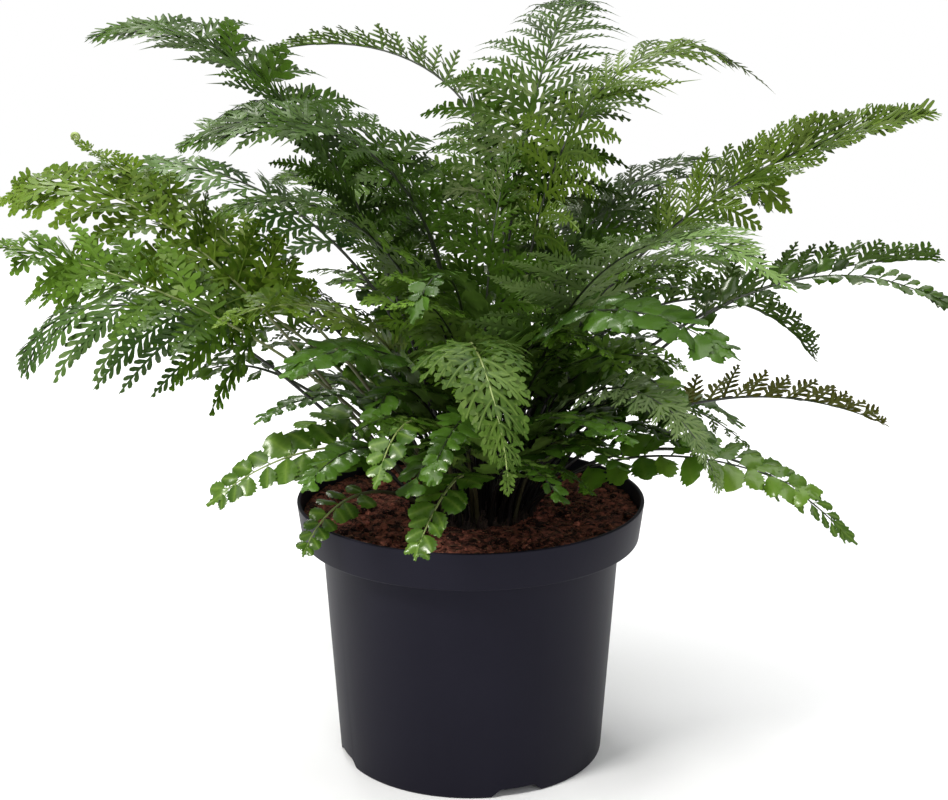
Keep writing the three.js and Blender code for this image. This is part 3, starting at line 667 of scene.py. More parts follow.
def cut_leaf(form, teeth, variant):
    """A leaflet with teeth on both sides of its wing, alternate, shorter to its tip."""
    cut = CUTS[form]
    draw = random.Random(f"{form} {teeth} {variant}")
    bm, vein = new_bmesh("vein")
    columns = TOOTH_COLUMNS * teeth + 1
    bmesh.ops.create_grid(bm, x_segments=columns, y_segments=2, size=1)
    grid = {}
    pitch = (1 - cut["thread"]) / teeth
    for vert in bm.verts:
        column = round((vert.co.x + 1) / 2 * columns)
        row = round(vert.co.y)
        wing = cut["wing"] * pitch * (1 - WING_NARROWING * (column / columns))
        x = 1 if column == columns else column * pitch / TOOTH_COLUMNS
        vert.co = (x, row * wing, 0)
        vert[vein] = row == 0
        grid[column, row] = vert
    for tooth in range(teeth):
        share = (tooth + 0.5) / teeth
        for side, reach in ((1, cut["front"]), (-1, cut["rear"])):
            start = TOOTH_COLUMNS * tooth + TOOTH_STARTS[side]
            roots = [grid[start + step, side] for step in range(3)]
            size = min(1, TOOTH_FOOT + TOOTH_GROWTH * share) * (1 - share) ** TOOTH_TAPER
            size *= chance(draw, "tooth length")
            if teeth > LONG_LEAF and tooth == teeth - 1:
                size *= LAST_TOOTH
            kind = cut["teeth"][draw.randrange(len(cut["teeth"]))]
            if cut["teeth"][0] == "forked" and side < 0:
                kind = "needle"
            lean = math.radians(cut["lean"] + chance(draw, "tooth lean") + MORE_LEAN * share)
            tilt = UP * chance(draw, "tooth tilt")
            out = Vector((math.sin(lean), side * math.cos(lean), 0)) + tilt
            across = Vector((math.cos(lean), -side * math.sin(lean), 0))
            half = cut["width"] * pitch / 2 * (1 - THINNER + THINNER * size)
            grow_tooth(bm, roots, TEETH[kind], out, across, reach * pitch * size, half, vein, draw)
    tip = [grid[columns, row] for row in (-1, 0, 1)]
    bmesh.ops.pointmerge(bm, verts=tip, merge_co=(1, 0, 0))
    return Leaf(f"{form} leaf {teeth} {variant}", bm)


# A broad leaflet: the length of its stalk and the least half width of its foot and tip, as shares of
# its length; how far teeth lean to the tip; and how much deeper the notches are than the teeth.
STALK = 0.1
FOOT_HALF, TIP_HALF = 0.02, 0.05
TOOTH_LEAN = 0.016
NOTCH = 1.5
# The power of its cup's curve, how far its foot's edges stand up, the turns of its ripple in radians,
# and how plain its side veins are beside the middle one.
CUP_CURVE = 1.6
FOOT_RISE = 0.05
RIPPLES = 9
SIDE_VEIN = 0.3


def broad_leaf(kind, variant):
    """A leaflet with a short stalk, a scalloped edge, a sunk middle vein and a slight cup."""
    shape = BROAD_SHAPES[kind]
    draw = random.Random(f"{kind} {variant}")
    bm, vein = new_bmesh("vein")
    columns = 2 * shape["teeth"] + 2
    bmesh.ops.create_grid(bm, x_segments=columns, y_segments=4, size=1)
    cup = chance(draw, "broad cup")
    ripple = chance(draw, "broad ripple")
    phase = chance(draw, "compass")
    turn = chance(draw, "broad turn")
    for vert in bm.verts:
        column = round((vert.co.x + 1) / 2 * columns)
        row = round(vert.co.y * 2)
        share = max((column - 1) / (columns - 1), 0)
        x = STALK + (1 - STALK) * share if column else 0
        outline = math.sin(math.pi * share ** shape["fan"]) ** shape["blunt"] if 0 < share < 1 else 0
        half = max(outline * shape["half"], FOOT_HALF if share < 1 else TIP_HALF)
        if abs(row) == 2 and 0 < share < 1:
            step = 1 if column % 2 else -NOTCH
            half *= 1 + shape["crenate"] * step
            x += TOOTH_LEAN * math.copysign(1, step)
        oblique = 1 + shape["oblique"] * (1 - share) * (1 if row > 0 else -1)
        across = row / 2
        y = across * half * (oblique if column > 1 else 1) + turn * x * x
        z = -cup * abs(across) ** CUP_CURVE * half + FOOT_RISE * abs(across) * (1 - share)
        z += ripple * math.sin(RIPPLES * share + phase + row) * abs(across)
        vert.co = (x, y, z)
        vert[vein] = 1 if row == 0 else SIDE_VEIN * (column % 2)
    return Leaf(f"{kind} leaf {variant}", bm)


class LeafBox:
    """All leaf templates, each made when it is first asked for."""

    def __init__(self):
        self.made = {}

    def get(self, make, *key):
        if key not in self.made:
            self.made[key] = make(*key)
        return self.made[key]

    def cut(self, form, length, draw):
        count = min(TOOTH_COUNTS, key=lambda teeth: abs(teeth - length / MM / CUTS[form]["pitch"]))
        return self.get(cut_leaf, form, count, draw.randrange(LEAF_VARIANTS))

    def broad(self, kind, draw):
        return self.get(broad_leaf, kind, draw.randrange(LEAF_VARIANTS))


leaf_box = LeafBox()


# ---- Fronds ----

RIB_SIDES = 6
STEM_RADIUS = 1.25 * MM
BLADE_RADIUS = 0.75 * MM
TIP_RADIUS = 0.22 * MM
# Young fronds whose tip is still rolled up, the steps of the roll and, from its first to its last, the
# turn in degrees, the way ahead and the radius in millimetres.
CURLED = ("curl_left", "lace_upper")
CURL_STEPS = 16
CURL_TURN = (30, 52)
CURL_AHEAD = (1.5, 0.55)
CURL_RADIUS = (0.9, 0.5)
# The share of the rib where leaflets end, and how pairs close up to the tip: the first gap is
# 1 + CLOSING_UP times the mean one. PAIR_STEPS: how far after the pair's start, in gaps, its
# right-hand leaflet (1) and its left-hand one (-1) stand.
BLADE_END = 0.985
CLOSING_UP = 0.35
PAIR_STEPS = {1: 0.18, -1: 0.5}
LEAST_PAIRS = 4
# The widest gap between pairs as a share of the reach, and the share of the blade from which leaflets
# shorten no further. LIFT_SAG: how much of its lift a leaflet sags by, beside its form's own sag.
WIDEST_GAP = 0.45
SHORTEST_AT = 0.97
LIFT_SAG = 0.8
LEAST_LEAFLET = 3.5 * MM
HALF_THICKNESS = 0.2 * MM
# How high over the rib's middle leaflets grow, in millimetres.
ROOT_HEIGHT = 0.1
# Tones, from 0 to 1: how much of a leaflet's comes from its place near the tip, not from chance, and
# the strays' and the rib's. The share from its place makes leaflets near the crown darker: partly
# painted shade, partly the darker green of older leaflets.
CROWN_SHADE_TONE = 0.38
STRAY_TONE = 0.75
RIB_TONE = 0.5
# How leaflets that stray are laid.
STRAY_BEND = {"sag": 0.16, "lift": 0.1, "bend": 0.1, "twist": 0.2}
# A blade's outline, as shares of the reach. Cut fronds' leaflets start at the first of these, lengthen
# over the blade by the second and taper; the third makes the longest of them as long as the reach.
# Broad fronds' leaflets start at the first and lose the second by the tip, with a curve of the third.
CUT_OUTLINE = (0.66, 1.5, 0.87)
BROAD_OUTLINE = (0.85, 0.6, 1.6)
# Where the leaflet at a frond's tip starts on the rib, and its length beside the rib that is left and,
# if it is broad, beside its neighbours.
CUT_TIP, CUT_TIP_LENGTH = 0.965, 1.05
BROAD_TIP, BROAD_TIP_LENGTH, BROAD_TIP_LEAST = 0.93, 1.35, 1.25


class Rib:
    """The curve of a frond's stem and rib, whose steepness and heading change along it."""

    def __init__(self, frond):
        self.frond = frond
        self.points = [STEM_CENTRE + compass(frond["heading"]) * frond["ring"] * MM]
        step = frond["length"] * MM / RIB_STEPS
        for index in range(RIB_STEPS):
            self.points.append(self.points[-1] + self.direction((index + 0.5) / RIB_STEPS) * step)

    def angles(self, t):
        bend = t ** self.frond["late"]
        steep = math.radians(self.frond["rise"] - self.frond["droop"] * bend)
        return steep, math.radians(self.frond["heading"] + self.frond["swing"] * bend)

    def direction(self, t):
        steep, heading = self.angles(t)
        level = math.cos(steep)
        return Vector((level * math.cos(heading), level * math.sin(heading), math.sin(steep)))

    def point(self, t):
        place = min(t * RIB_STEPS, RIB_STEPS - 1e-6)
        index = int(place)
        return self.points[index].lerp(self.points[index + 1], place - index)

    def axes(self, t):
        """Along the rib, to its right, and out of its upper face."""
        heading = self.angles(t)[1]
        along = self.direction(t)
        right = Vector((math.sin(heading), -math.cos(heading), 0))
        roll = math.radians(self.frond["roll"]) * smoothstep(t / self.frond["bare"])
        right = Matrix.Rotation(roll, 3, along) @ right
        return along, right, right.cross(along)

    def radius(self, t):
        bare = self.frond["bare"]
        if t < bare:
            return between((STEM_RADIUS, BLADE_RADIUS), t / bare)
        return between((BLADE_RADIUS, TIP_RADIUS), (t - bare) / (1 - bare))


def placing(point, along, right, up, radius):
    turn = Matrix((right, up, along)).transposed().to_4x4()
    return Matrix.Translation(point) @ turn @ Matrix.Scale(radius, 4)


def curl(rib):
    """The frames of a young tip that is still rolled up, from the rib's end inwards."""
    along, right, up = rib.axes(1)
    point = rib.point(1)
    for index in range(1, CURL_STEPS + 1):
        share = index / CURL_STEPS
        turn = Matrix.Rotation(math.radians(between(CURL_TURN, share)), 3, right)
        along = turn @ along
        up = turn @ up
        point = point + along * between(CURL_AHEAD, share) * MM
        yield placing(point, along, right, up, between(CURL_RADIUS, share) * MM)


def draw_rib(bm, rib, along_layer):
    """A tube from the buried foot of the stem to the frond's tip."""
    along, right, _ = rib.axes(0)
    heading = Vector((along.x, along.y, 0)).normalized()
    frames = [(0, placing(rib.points[0] - UP * STEM_DEPTH, UP, right, -heading, STEM_RADIUS))]
    for index in range(RIB_STEPS + 1):
        t = index / RIB_STEPS
        frames.append((t, placing(rib.point(t), *rib.axes(t), rib.radius(t))))
    if rib.frond["name"] in CURLED:
        frames += [(1, target) for target in curl(rib)]
    ring = set(bmesh.ops.create_circle(bm, segments=RIB_SIDES, radius=1)["verts"])
    place = Matrix.Identity(4)
    for index, (t, target) in enumerate(frames):
        if index:
            edges = [edge for edge in bm.edges if edge.verts[0] in ring and edge.verts[1] in ring]
            ring = set(verts_of(bmesh.ops.extrude_edge_only(bm, edges=edges)["geom"]))
        bmesh.ops.transform(bm, matrix=target @ place.inverted(), verts=list(ring))
        place = target
        for vert in ring:
            vert[along_layer] = t
    bmesh.ops.holes_fill(bm, edges=[edge for edge in bm.edges if edge.is_boundary], sides=RIB_SIDES)
    bmesh.ops.recalc_face_normals(bm, faces=bm.faces)
    smoothed(bm)
    for face in bm.faces:
        face.material_index = RIB


def leaflet_length(frond, share):
    """The length of a leaflet at a share of the blade, in metres."""
    form = FORMS[frond["form"]]
    reach = frond["reach"] * MM * form["size"]
    if frond["form"] in BROAD_FORMS:
        foot, loss, curve = BROAD_OUTLINE
        return reach * min(foot + share, 1) * (1 - loss * share ** curve)
    foot, growth, longest = CUT_OUTLINE
    return reach * min(foot + growth * share, 1) * (1 - share) ** form["taper"] / longest


def laid(leaf, root, axes, length, sag, widen=1, lift=0, bend=0, twist=0):
    """The places of a template's vertices as a leaflet that rises, arches forward and sags."""
    axis, forward, up = axes
    x, y, z = leaf.places.T
    across = y * length * widen
    rise = z * length + lift * length * x + across * (twist * x) + leaf.side * HALF_THICKNESS
    places = np.outer(x * length, axis) + np.outer(across + bend * length * x * x, forward)
    places += np.outer(rise, up)
    places[:, 2] -= sag * length * x * x
    return places + np.array(root)


def paired_leaflets(frond, rib, draw):
    """Yields each leaflet of the two rows as its template, the places of its vertices and its tone, darker
    near the crown as painted shade.
    """
    form = FORMS[frond["form"]]
    bare = frond["bare"]
    spacing = min(form["spacing"], WIDEST_GAP * frond["reach"])
    pairs = max(round((BLADE_END - bare) * frond["length"] / spacing), LEAST_PAIRS)
    fuller, limit = FULLER.get(frond["form"], (frond["form"], 0))
    for step, side in ((index + PAIR_STEPS[side], side) for index in range(pairs) for side in (1, -1)):
        step += chance(draw, "leaflet step")
        share = max(((1 + CLOSING_UP) * step - CLOSING_UP * step * step / pairs) / pairs, 0)
        t = bare + (BLADE_END - bare) * min(share, 1)
        along, right, _ = rib.axes(t)
        raised = math.radians(frond["fold"] + draw.uniform(-form["loose"], form["loose"]))
        outwards = Matrix.Rotation(-side * raised, 3, along) @ (right * side)
        sweep = math.radians(between(form["sweep"], share))
        sweep += math.radians(chance(draw, "leaflet sweep") - (form["back"] if side > 0 else 0))
        axis = outwards * math.cos(sweep) + along * math.sin(sweep)
        forward = along * math.cos(sweep) - outwards * math.sin(sweep)
        roll = math.radians(form["roll"]) * chance(draw, "leaflet roll")
        forward = Matrix.Rotation(roll, 3, axis) @ forward
        normal = axis.cross(forward) * side
        length = leaflet_length(frond, min(share, SHORTEST_AT)) * chance(draw, "leaflet length")
        length = max(length, LEAST_LEAFLET)
        lift = form["lift"] * chance(draw, "leaflet lift")
        sag = lift * LIFT_SAG + (0 if frond["fold"] > 0 else form["sag"])
        cut = fuller if share < limit * chance(draw, "fuller limit") else frond["form"]
        if frond["form"] in BROAD_FORMS:
            leaf = leaf_box.broad(draw.choice(BROAD_FORMS[frond["form"]]), draw)
            widen = chance(draw, "leaflet width")
        else:
            leaf = leaf_box.cut(cut, length, draw)
            widen = 1
        root = rib.point(t) + normal * ROOT_HEIGHT * MM
        twist = form["twist"] * chance(draw, "leaflet twist")
        axes = (axis, forward, normal)
        places = laid(leaf, root, axes, length, sag, widen, lift, form["forward"], twist)
        # Tone rises towards the tip: leaflets near the crown are darker, partly painted shade, partly age.
        yield leaf, places, (1 - CROWN_SHADE_TONE) * draw.random() + CROWN_SHADE_TONE * share


def stray_leaflets(frond, rib, draw):
    for t, turn, lean, size, cut in STRAYS.get(frond["name"], ()):
        length = size * MM
        along, right, _ = rib.axes(t)
        outwards = Matrix.Rotation(math.radians(-turn), 3, along) @ right
        axis = Matrix.Rotation(math.radians(lean), 3, outwards.cross(along)) @ outwards
        forward = axis.cross(along).normalized().cross(axis)
        leaf = leaf_box.cut(cut, length, draw)
        axes = (axis, forward, axis.cross(forward))
        yield leaf, laid(leaf, rib.point(t), axes, length, **STRAY_BEND), STRAY_TONE


def tip_leaflet(frond, rib, draw):
    if frond["form"] in BROAD_FORMS:
        t = BROAD_TIP
        leaf = leaf_box.broad("tip", draw)
        length = (1 - t) * frond["length"] * MM * BROAD_TIP_LENGTH
        length = max(BROAD_TIP_LEAST * leaflet_length(frond, 1), length)
    else:
        t = CUT_TIP
        length = (1 - t) * frond["length"] * MM * CUT_TIP_LENGTH
        leaf = leaf_box.cut(frond["form"], length, draw)
    along, right, up = rib.axes(t)
    # The tip leaflet's tone comes from the lighter end, like other leaflets near the tip, away from the
    # painted shade near the crown.
    return leaf, laid(leaf, rib.point(t), (along, -right, up), length, sag=0.06), chance(draw, "tip tone")


def frond_mesh(frond):
    """The rib and all leaflets of one frond as one mesh."""
    draw = random.Random(frond["name"])
    rib = Rib(frond)
    bm, along_layer, *_ = new_bmesh("along", "vein", "side", "tone")
    draw_rib(bm, rib, along_layer)
    places = [np.array([vert.co for vert in bm.verts])]
    tones = [np.full(len(bm.verts), RIB_TONE)]
    leaflets = [*paired_leaflets(frond, rib, draw), *stray_leaflets(frond, rib, draw)]
    for leaf, spots, tone in (*leaflets, tip_leaflet(frond, rib, draw)):
        bm.from_mesh(leaf.mesh)
        places.append(spots)
        tones.append(np.full(len(spots), tone))
    mesh = new_mesh(frond["name"], bm)
    mesh.vertices.foreach_set("co", np.concatenate(places).ravel())
    mesh.attributes["tone"].data.foreach_set("value", np.concatenate(tones).astype(np.float32))
    mesh.attributes.remove(mesh.attributes["side"])
    mesh.update()
    return mesh


# The roughness and coat of cut leaves, of broad ones and of undersides. THROUGH: the light that comes
# through a leaf, and UNDERSIDE_DARK: an underside's dark tone, both as shares of the light tone.
CUT_SURFACE = (0.36, 0.0)
BROAD_SURFACE = (0.3, 0.6)
UNDER_SURFACE = (0.55, 0.0)
THROUGH = 1.6
UNDERSIDE_DARK = 0.7


class Wardrobe:
    """The materials of the fronds, each made once for a finish or a rib colour."""

    def __init__(self):
        self.made = {}

    def leaf(self, finish, broad):
        key = (finish, broad)
        if key not in self.made:
            dark, light, under, vein = FINISHES[finish]
            surface = BROAD_SURFACE if broad else CUT_SURFACE
            through = [THROUGH * channel for channel in light]
            shaded = [UNDERSIDE_DARK * channel for channel in under]
            self.made[key] = [
                leaf_material(f"{finish} leaf", dark, light, vein, *surface, through),
                leaf_material(f"{finish} leaf underside", shaded, under, under, *UNDER_SURFACE, through),
            ]
        return self.made[key]

    def rachis(self, colour):
        if colour not in self.made:
            self.made[colour] = rachis_material(f"{colour} rib", *RACHIS[colour])
        return self.made[colour]


wardrobe = Wardrobe()


def add_frond(name, frond, slot, *nodes):
    leaf = wardrobe.leaf(frond["finish"], frond["form"] in BROAD_FORMS)
    add_piece(name, frond_mesh(frond), [*leaf, wardrobe.rachis(frond["rachis"])], slot, *nodes)


def add_fronds(rows, slot):
    for row in rows:
        frond = frond_from(row)
        add_frond(f"{frond['name']}_frond", frond, slot, f"frond_{frond['name']}")


def inner_fronds(tier):
    """The short fronds of a tier, which fill the middle of the plant."""
    draw = random.Random(tier["name"])
    for index in range(tier["count"]):
        heading = tier["first"] + GOLDEN_ANGLE * index
        if BARE_SIDE[0] < heading % 360 < BARE_SIDE[1]:
            continue
        ring, rise, droop = (draw.uniform(*tier[key]) for key in ("ring", "rise", "droop"))
        swing, late = chance(draw, "inner swing"), chance(draw, "inner late")
        length, reach = (draw.uniform(*tier[key]) for key in ("length", "reach"))
        roll = chance(draw, "inner roll")
        look = tier["looks"][index % len(tier["looks"])]
        name = f"{tier['name']} {index}"
        bare = tier["bare"]
        yield frond_from((name, ring, heading, rise, droop, swing, late, length, reach, bare, roll, *look))


# ---- Pot ----

ARCH = {
    "count": 4, "first": -70, "foot": 29 * MM, "crown": 18 * MM, "height": 4 * MM, "depth": 16 * MM,
    "roof": 1.8 * MM, "drain": 4 * MM, "inset": 9 * MM,
}
POT_STEPS = 128
ARC_STEPS = 4


def rounded(corners):
    """The profile through these corners (radius, height, rounding), each replaced by a short arc."""
    places = [Vector(corner[:2]) for corner in corners]
    points = []
    for index, (place, corner) in enumerate(zip(places, corners)):
        if not corner[2]:
            points.append(place)
            continue
        back = (places[index - 1] - place).normalized() * corner[2]
        ahead = (places[index + 1] - place).normalized() * corner[2]
        for step in range(ARC_STEPS + 1):
            share = step / ARC_STEPS
            points.append(place + back * (1 - share) ** 2 + ahead * share ** 2)
    return points


def pot_profile(sizes):
    band = POT_HEIGHT - sizes.band
    wall, floor, foot, neck, band_foot = (
        sizes.wall, sizes.floor, sizes.foot_radius, sizes.neck_radius, sizes.band_radius
    )
    lean = (neck - foot) / band
    return rounded([
        (0, 0, 0),
        (foot, 0, 1.2 * MM),
        (neck, band, 0.8 * MM),
        (band_foot, band, 0.9 * MM),
        (RIM_RADIUS, POT_HEIGHT, 0.7 * MM),
        (RIM_RADIUS - wall, POT_HEIGHT, 0.6 * MM),
        (band_foot - wall, band + wall, 0.8 * MM),
        (neck - wall, band + wall, 0.8 * MM),
        (foot + lean * floor - wall, floor, 1.5 * MM),
        (0, floor, 0),
    ])


def temporary(name, bm, heading=0):
    """An object to cut or join with, turned to its heading."""
    turn = Matrix.Rotation(math.radians(heading), 3, "Z")
    bmesh.ops.rotate(bm, verts=bm.verts, cent=(0, 0, 0), matrix=turn)
    made = bpy.data.objects.new(name, new_mesh(name, bm))
    bpy.context.scene.collection.objects.link(made)
    return made


def arch_space(heading, foot_radius, extra):
    """The space of one drain arch, reaching inwards from the foot's edge."""
    bm = bmesh.new()
    below = -1 * MM
    half_foot = ARCH["foot"] / 2 + extra
    half_crown = ARCH["crown"] / 2 + extra
    top = ARCH["height"] + extra
    outer = foot_radius + 4 * MM
    inner = foot_radius - ARCH["depth"] - extra
    outline = [(-half_foot, below), (half_foot, below), (half_crown, top), (-half_crown, top)]
    face = bm.faces.new([bm.verts.new((outer, y, z)) for y, z in outline])
    far = verts_of(bmesh.ops.extrude_face_region(bm, geom=[face])["geom"])
    bmesh.ops.translate(bm, verts=far, vec=(inner - outer, 0, 0))
    soft = [edge for edge in bm.edges if all(vert.co.z > 0 for vert in edge.verts)]
    bmesh.ops.bevel(bm, geom=soft, offset=1.2 * MM, segments=3, profile=0.5, affect="EDGES", material=-1)
    bmesh.ops.recalc_face_normals(bm, faces=bm.faces)
    return temporary("arch", bm, heading)


def drain_hole(heading, foot_radius):
    bm = bmesh.new()
    radius = ARCH["drain"]
    depth = 4 * (ARCH["height"] + ARCH["roof"])
    bmesh.ops.create_cone(bm, cap_ends=True, segments=32, radius1=radius, radius2=radius, depth=depth)
    bmesh.ops.translate(bm, verts=bm.verts, vec=(foot_radius - ARCH["inset"], 0, 0))
    return temporary("drain", bm, heading)


def combined(body, others, operation):
    """The body's mesh joined with, or cut by, the other objects, which are removed."""
    for other in others:
        modifier = body.modifiers.new(operation.lower(), "BOOLEAN")
        modifier.operation = operation
        modifier.solver = "EXACT"
        modifier.object = other
    graph = bpy.context.evaluated_depsgraph_get()
    made = bpy.data.meshes.new_from_object(body.evaluated_get(graph))
    body.modifiers.clear()
    body.data = made
    for other in others:
        bpy.data.objects.remove(other)


def pot_mesh(sizes):
    bm = bmesh.new()
    turned(bm, pot_profile(sizes), POT_STEPS)
    body = temporary("pot body", bm)
    foot = sizes.foot_radius
    low, high, inside = 0.4 * MM, 8 * MM, foot - 0.8 * MM
    headings = [ARCH["first"] + 360 / ARCH["count"] * index for index in range(ARCH["count"])]
    humps = []
    for heading in headings:
        humps.append(arch_space(heading, foot, ARCH["roof"]))
        slab = bmesh.new()
        turned(slab, [(0, low), (inside, low), (inside, high), (0, high)], POT_STEPS)
        combined(humps[-1], [temporary("slab", slab)], "INTERSECT")
    combined(body, humps, "UNION")
    arches = [arch_space(heading, foot, 0) for heading in headings]
    combined(body, arches + [drain_hole(heading, foot) for heading in headings], "DIFFERENCE")
    bm = bmesh.new()
    bm.from_mesh(body.data)
    bpy.data.objects.remove(body)
    bmesh.ops.remove_doubles(bm, verts=bm.verts, dist=2e-5)
    bmesh.ops.dissolve_degenerate(bm, edges=bm.edges, dist=1e-5)
    smooth_but_sharp(bm, degrees=34)
    return new_mesh("pot", bm)


# ---- Peat ----

# Its open surface: how many heaps, lumps and crumbs to a metre, and their height in millimetres.
PEAT_RELIEF = ((38, 2.0), (170, 1.9), (480, 0.9))
PEAT_STEPS = 168
PEAT_RINGS = 34
PEAT_TONE = 0.5
# How far the open surface ends within the rim's outside.
RIM_GAP = 3.4 * MM
# Loose crumbs: how many, their least and greatest size in millimetres, and how finely they are made.
CRUMBS = ((620, 0.5, 1.2, 1), (230, 1.1, 2.6, 2))
# How far lumps stand out of a crumb, and how many there are, as shares of its size, and how high it lies.
CRUMB_LUMPS = 0.55
CRUMB_PITCH = 1.3
CRUMB_HEIGHT = 0.2
# Fibres: how many, their steps, and how much flatter and thinner each step is than the one before.
FIBRES = 260
FIBRE_STEPS = 5
FIBRE_DROOP = 0.15
FIBRE_TAPER = 0.14


def relief(place, waves):
    """How far a surface rises at this place, from waves of (how many to a metre, height)."""
    return sum(noise.noise(place * pitch) * height * MM for pitch, height in waves)


def peat_height(x, y, edge):
    return edge + relief(Vector((x, y, 0)), PEAT_RELIEF)


def scattered(draw, inner, outer):
    """A random place on a ring round the crown."""
    radius = math.sqrt(draw.uniform(inner ** 2, outer ** 2))
    turn = chance(draw, "compass")
    return radius * math.cos(turn), radius * math.sin(turn)


def add_crumb(bm, draw, place, size, levels, tone_layer):
    made = bmesh.ops.create_icosphere(bm, subdivisions=levels, radius=size)["verts"]
    shift = Vector([chance(draw, "crumb noise") for _ in range(3)])
    squash = Vector([chance(draw, f"crumb {side}") for side in ("length", "width", "height")])
    turn = Matrix.Rotation(chance(draw, "compass"), 3, "Z")
    tone = draw.random()
    for vert in made:
        swell = 1 + CRUMB_LUMPS * noise.noise(vert.co / size * CRUMB_PITCH + shift)
        vert.co = turn @ (vert.co * squash * swell) + place
        vert[tone_layer] = tone


def add_fibre(bm, draw, point, length, radius, tone_layer):
    """A short bent root or fibre: a thin tube of four sides lying on the peat."""
    heading = chance(draw, "compass")
    steep = chance(draw, "fibre steepness")
    bend = chance(draw, "fibre bend")
    tone = draw.random()
    ring = bmesh.ops.create_circle(bm, segments=4, radius=1, cap_ends=True)["verts"]
    face = ring[0].link_faces[0]
    back = Matrix.Identity(4)
    for index in range(FIBRE_STEPS):
        if index:
            face = faces_of(bmesh.ops.extrude_face_region(bm, geom=[face])["geom"])[0]
            ring = list(face.verts)
        turn = heading + bend * index / FIBRE_STEPS
        along = Vector((math.cos(turn), math.sin(turn), steep - FIBRE_DROOP * index)).normalized()
        right = along.cross(UP).normalized()
        target = placing(point, along, right, right.cross(along), radius * (1 - FIBRE_TAPER * index))
        bmesh.ops.transform(bm, matrix=target @ back.inverted(), verts=ring)
        back = target
        point = point + along * length / FIBRE_STEPS
        for vert in ring:
            vert[tone_layer] = tone


def peat_mesh(sizes):
    draw = random.Random("peat")
    bm, tone_layer = new_bmesh("tone")
    edge = sizes.peat_height
    rim = RIM_RADIUS - RIM_GAP
    pit = CROWN_RADIUS - 3 * MM
    wall = sizes.wall + 0.3 * MM
    foot = sizes.foot_radius - wall
    neck = sizes.neck_radius - wall
    bottom = ARCH["height"] + ARCH["roof"] + 0.6 * MM
    pit_floor = CROWN_LOW.z - 1 * MM
    profile = [(0, bottom), (foot, bottom), (neck, POT_HEIGHT - sizes.band), (neck, edge - 9 * MM)]
    profile.append((rim, edge - 3 * MM))
    for index in range(PEAT_RINGS + 1):
        profile.append((between((rim, pit), index / PEAT_RINGS), edge))
    profile += [(pit - 1 * MM, pit_floor), (0, pit_floor)]
    turned(bm, profile, PEAT_STEPS)
    for vert in bm.verts:
        if abs(vert.co.z - edge) < 1e-6:
            vert.co.z = peat_height(vert.co.x, vert.co.y, edge)
        vert[tone_layer] = PEAT_TONE
    smooth_but_sharp(bm, degrees=50)
    for count, low, high, levels in CRUMBS:
        for _ in range(count):
            x, y = scattered(draw, CROWN_RADIUS - 2 * MM, rim - 2 * MM)
            size = draw.uniform(low, high) * MM
            place = Vector((x, y, peat_height(x, y, edge) + size * CRUMB_HEIGHT))
            add_crumb(bm, draw, place, size, levels, tone_layer)
    return new_mesh("peat", bm)


def fibre_mesh(sizes):
    draw = random.Random("fibres")
    bm, tone_layer = new_bmesh("tone")
    for _ in range(FIBRES):
        x, y = scattered(draw, 30 * MM, RIM_RADIUS - 9 * MM)
        place = Vector((x, y, peat_height(x, y, sizes.peat_height) + 0.3 * MM))
        length = chance(draw, "fibre length") * MM
        add_fibre(bm, draw, place, length, chance(draw, "fibre radius") * MM, tone_layer)
    bmesh.ops.recalc_face_normals(bm, faces=bm.faces)
    smoothed(bm)
    return new_mesh("fibres", bm)


# ---- Crown ----

CROWN_STEPS = 96
DOME_RINGS = 22
# Heights: top of its straight side, where its rough dome starts, and where scales grow.
SIDE_TOP = 121 * MM
DOME_FOOT = 122.2 * MM
ROUGH_FROM = 121.5 * MM
SCALE_FOOT = 123.5 * MM
# How many rough places to a metre, and their height in millimetres.
CROWN_RELIEF = ((160, 1.3), (480, 0.7))
CROWN_TONE = 0.4
# Scales: how many, how far out they grow as a share of the crown's radius, the radii of their foot and
# tip, how flat they are, and how far they rise and bend outwards as shares of their length.
SCALES = 420
SCALE_SPREAD = 0.96
SCALE_RADII = (0.55 * MM, 0.05 * MM)
SCALE_FLATNESS = 0.45
SCALE_RISE = 0.8
SCALE_BEND = 0.7


def crown_mesh():
    draw = random.Random("crown")
    bm, tone_layer = new_bmesh("tone")
    rise = CROWN_HIGH.z - 0.6 * MM - DOME_FOOT
    low = CROWN_LOW.z + 0.4 * MM
    side = CROWN_RADIUS - 1.2 * MM
    profile = [(0, low), (CROWN_RADIUS - 3 * MM, low), (side, low + 2 * MM), (side, SIDE_TOP)]
    for index in range(DOME_RINGS + 1):
        share = index / DOME_RINGS
        height = DOME_FOOT + rise * math.sin(share * math.pi / 2)
        profile.append(((CROWN_RADIUS - 1.4 * MM) * (1 - share), height))
    turned(bm, profile, CROWN_STEPS)
    for vert in bm.verts:
        if vert.co.z > ROUGH_FROM:
            vert.co.z += relief(vert.co, CROWN_RELIEF)
        vert.co += CROWN_CENTRE
        vert[tone_layer] = CROWN_TONE
    smooth_but_sharp(bm, degrees=50)
    for _ in range(SCALES):
        add_scale(bm, draw, tone_layer)
    return new_mesh("crown", bm)


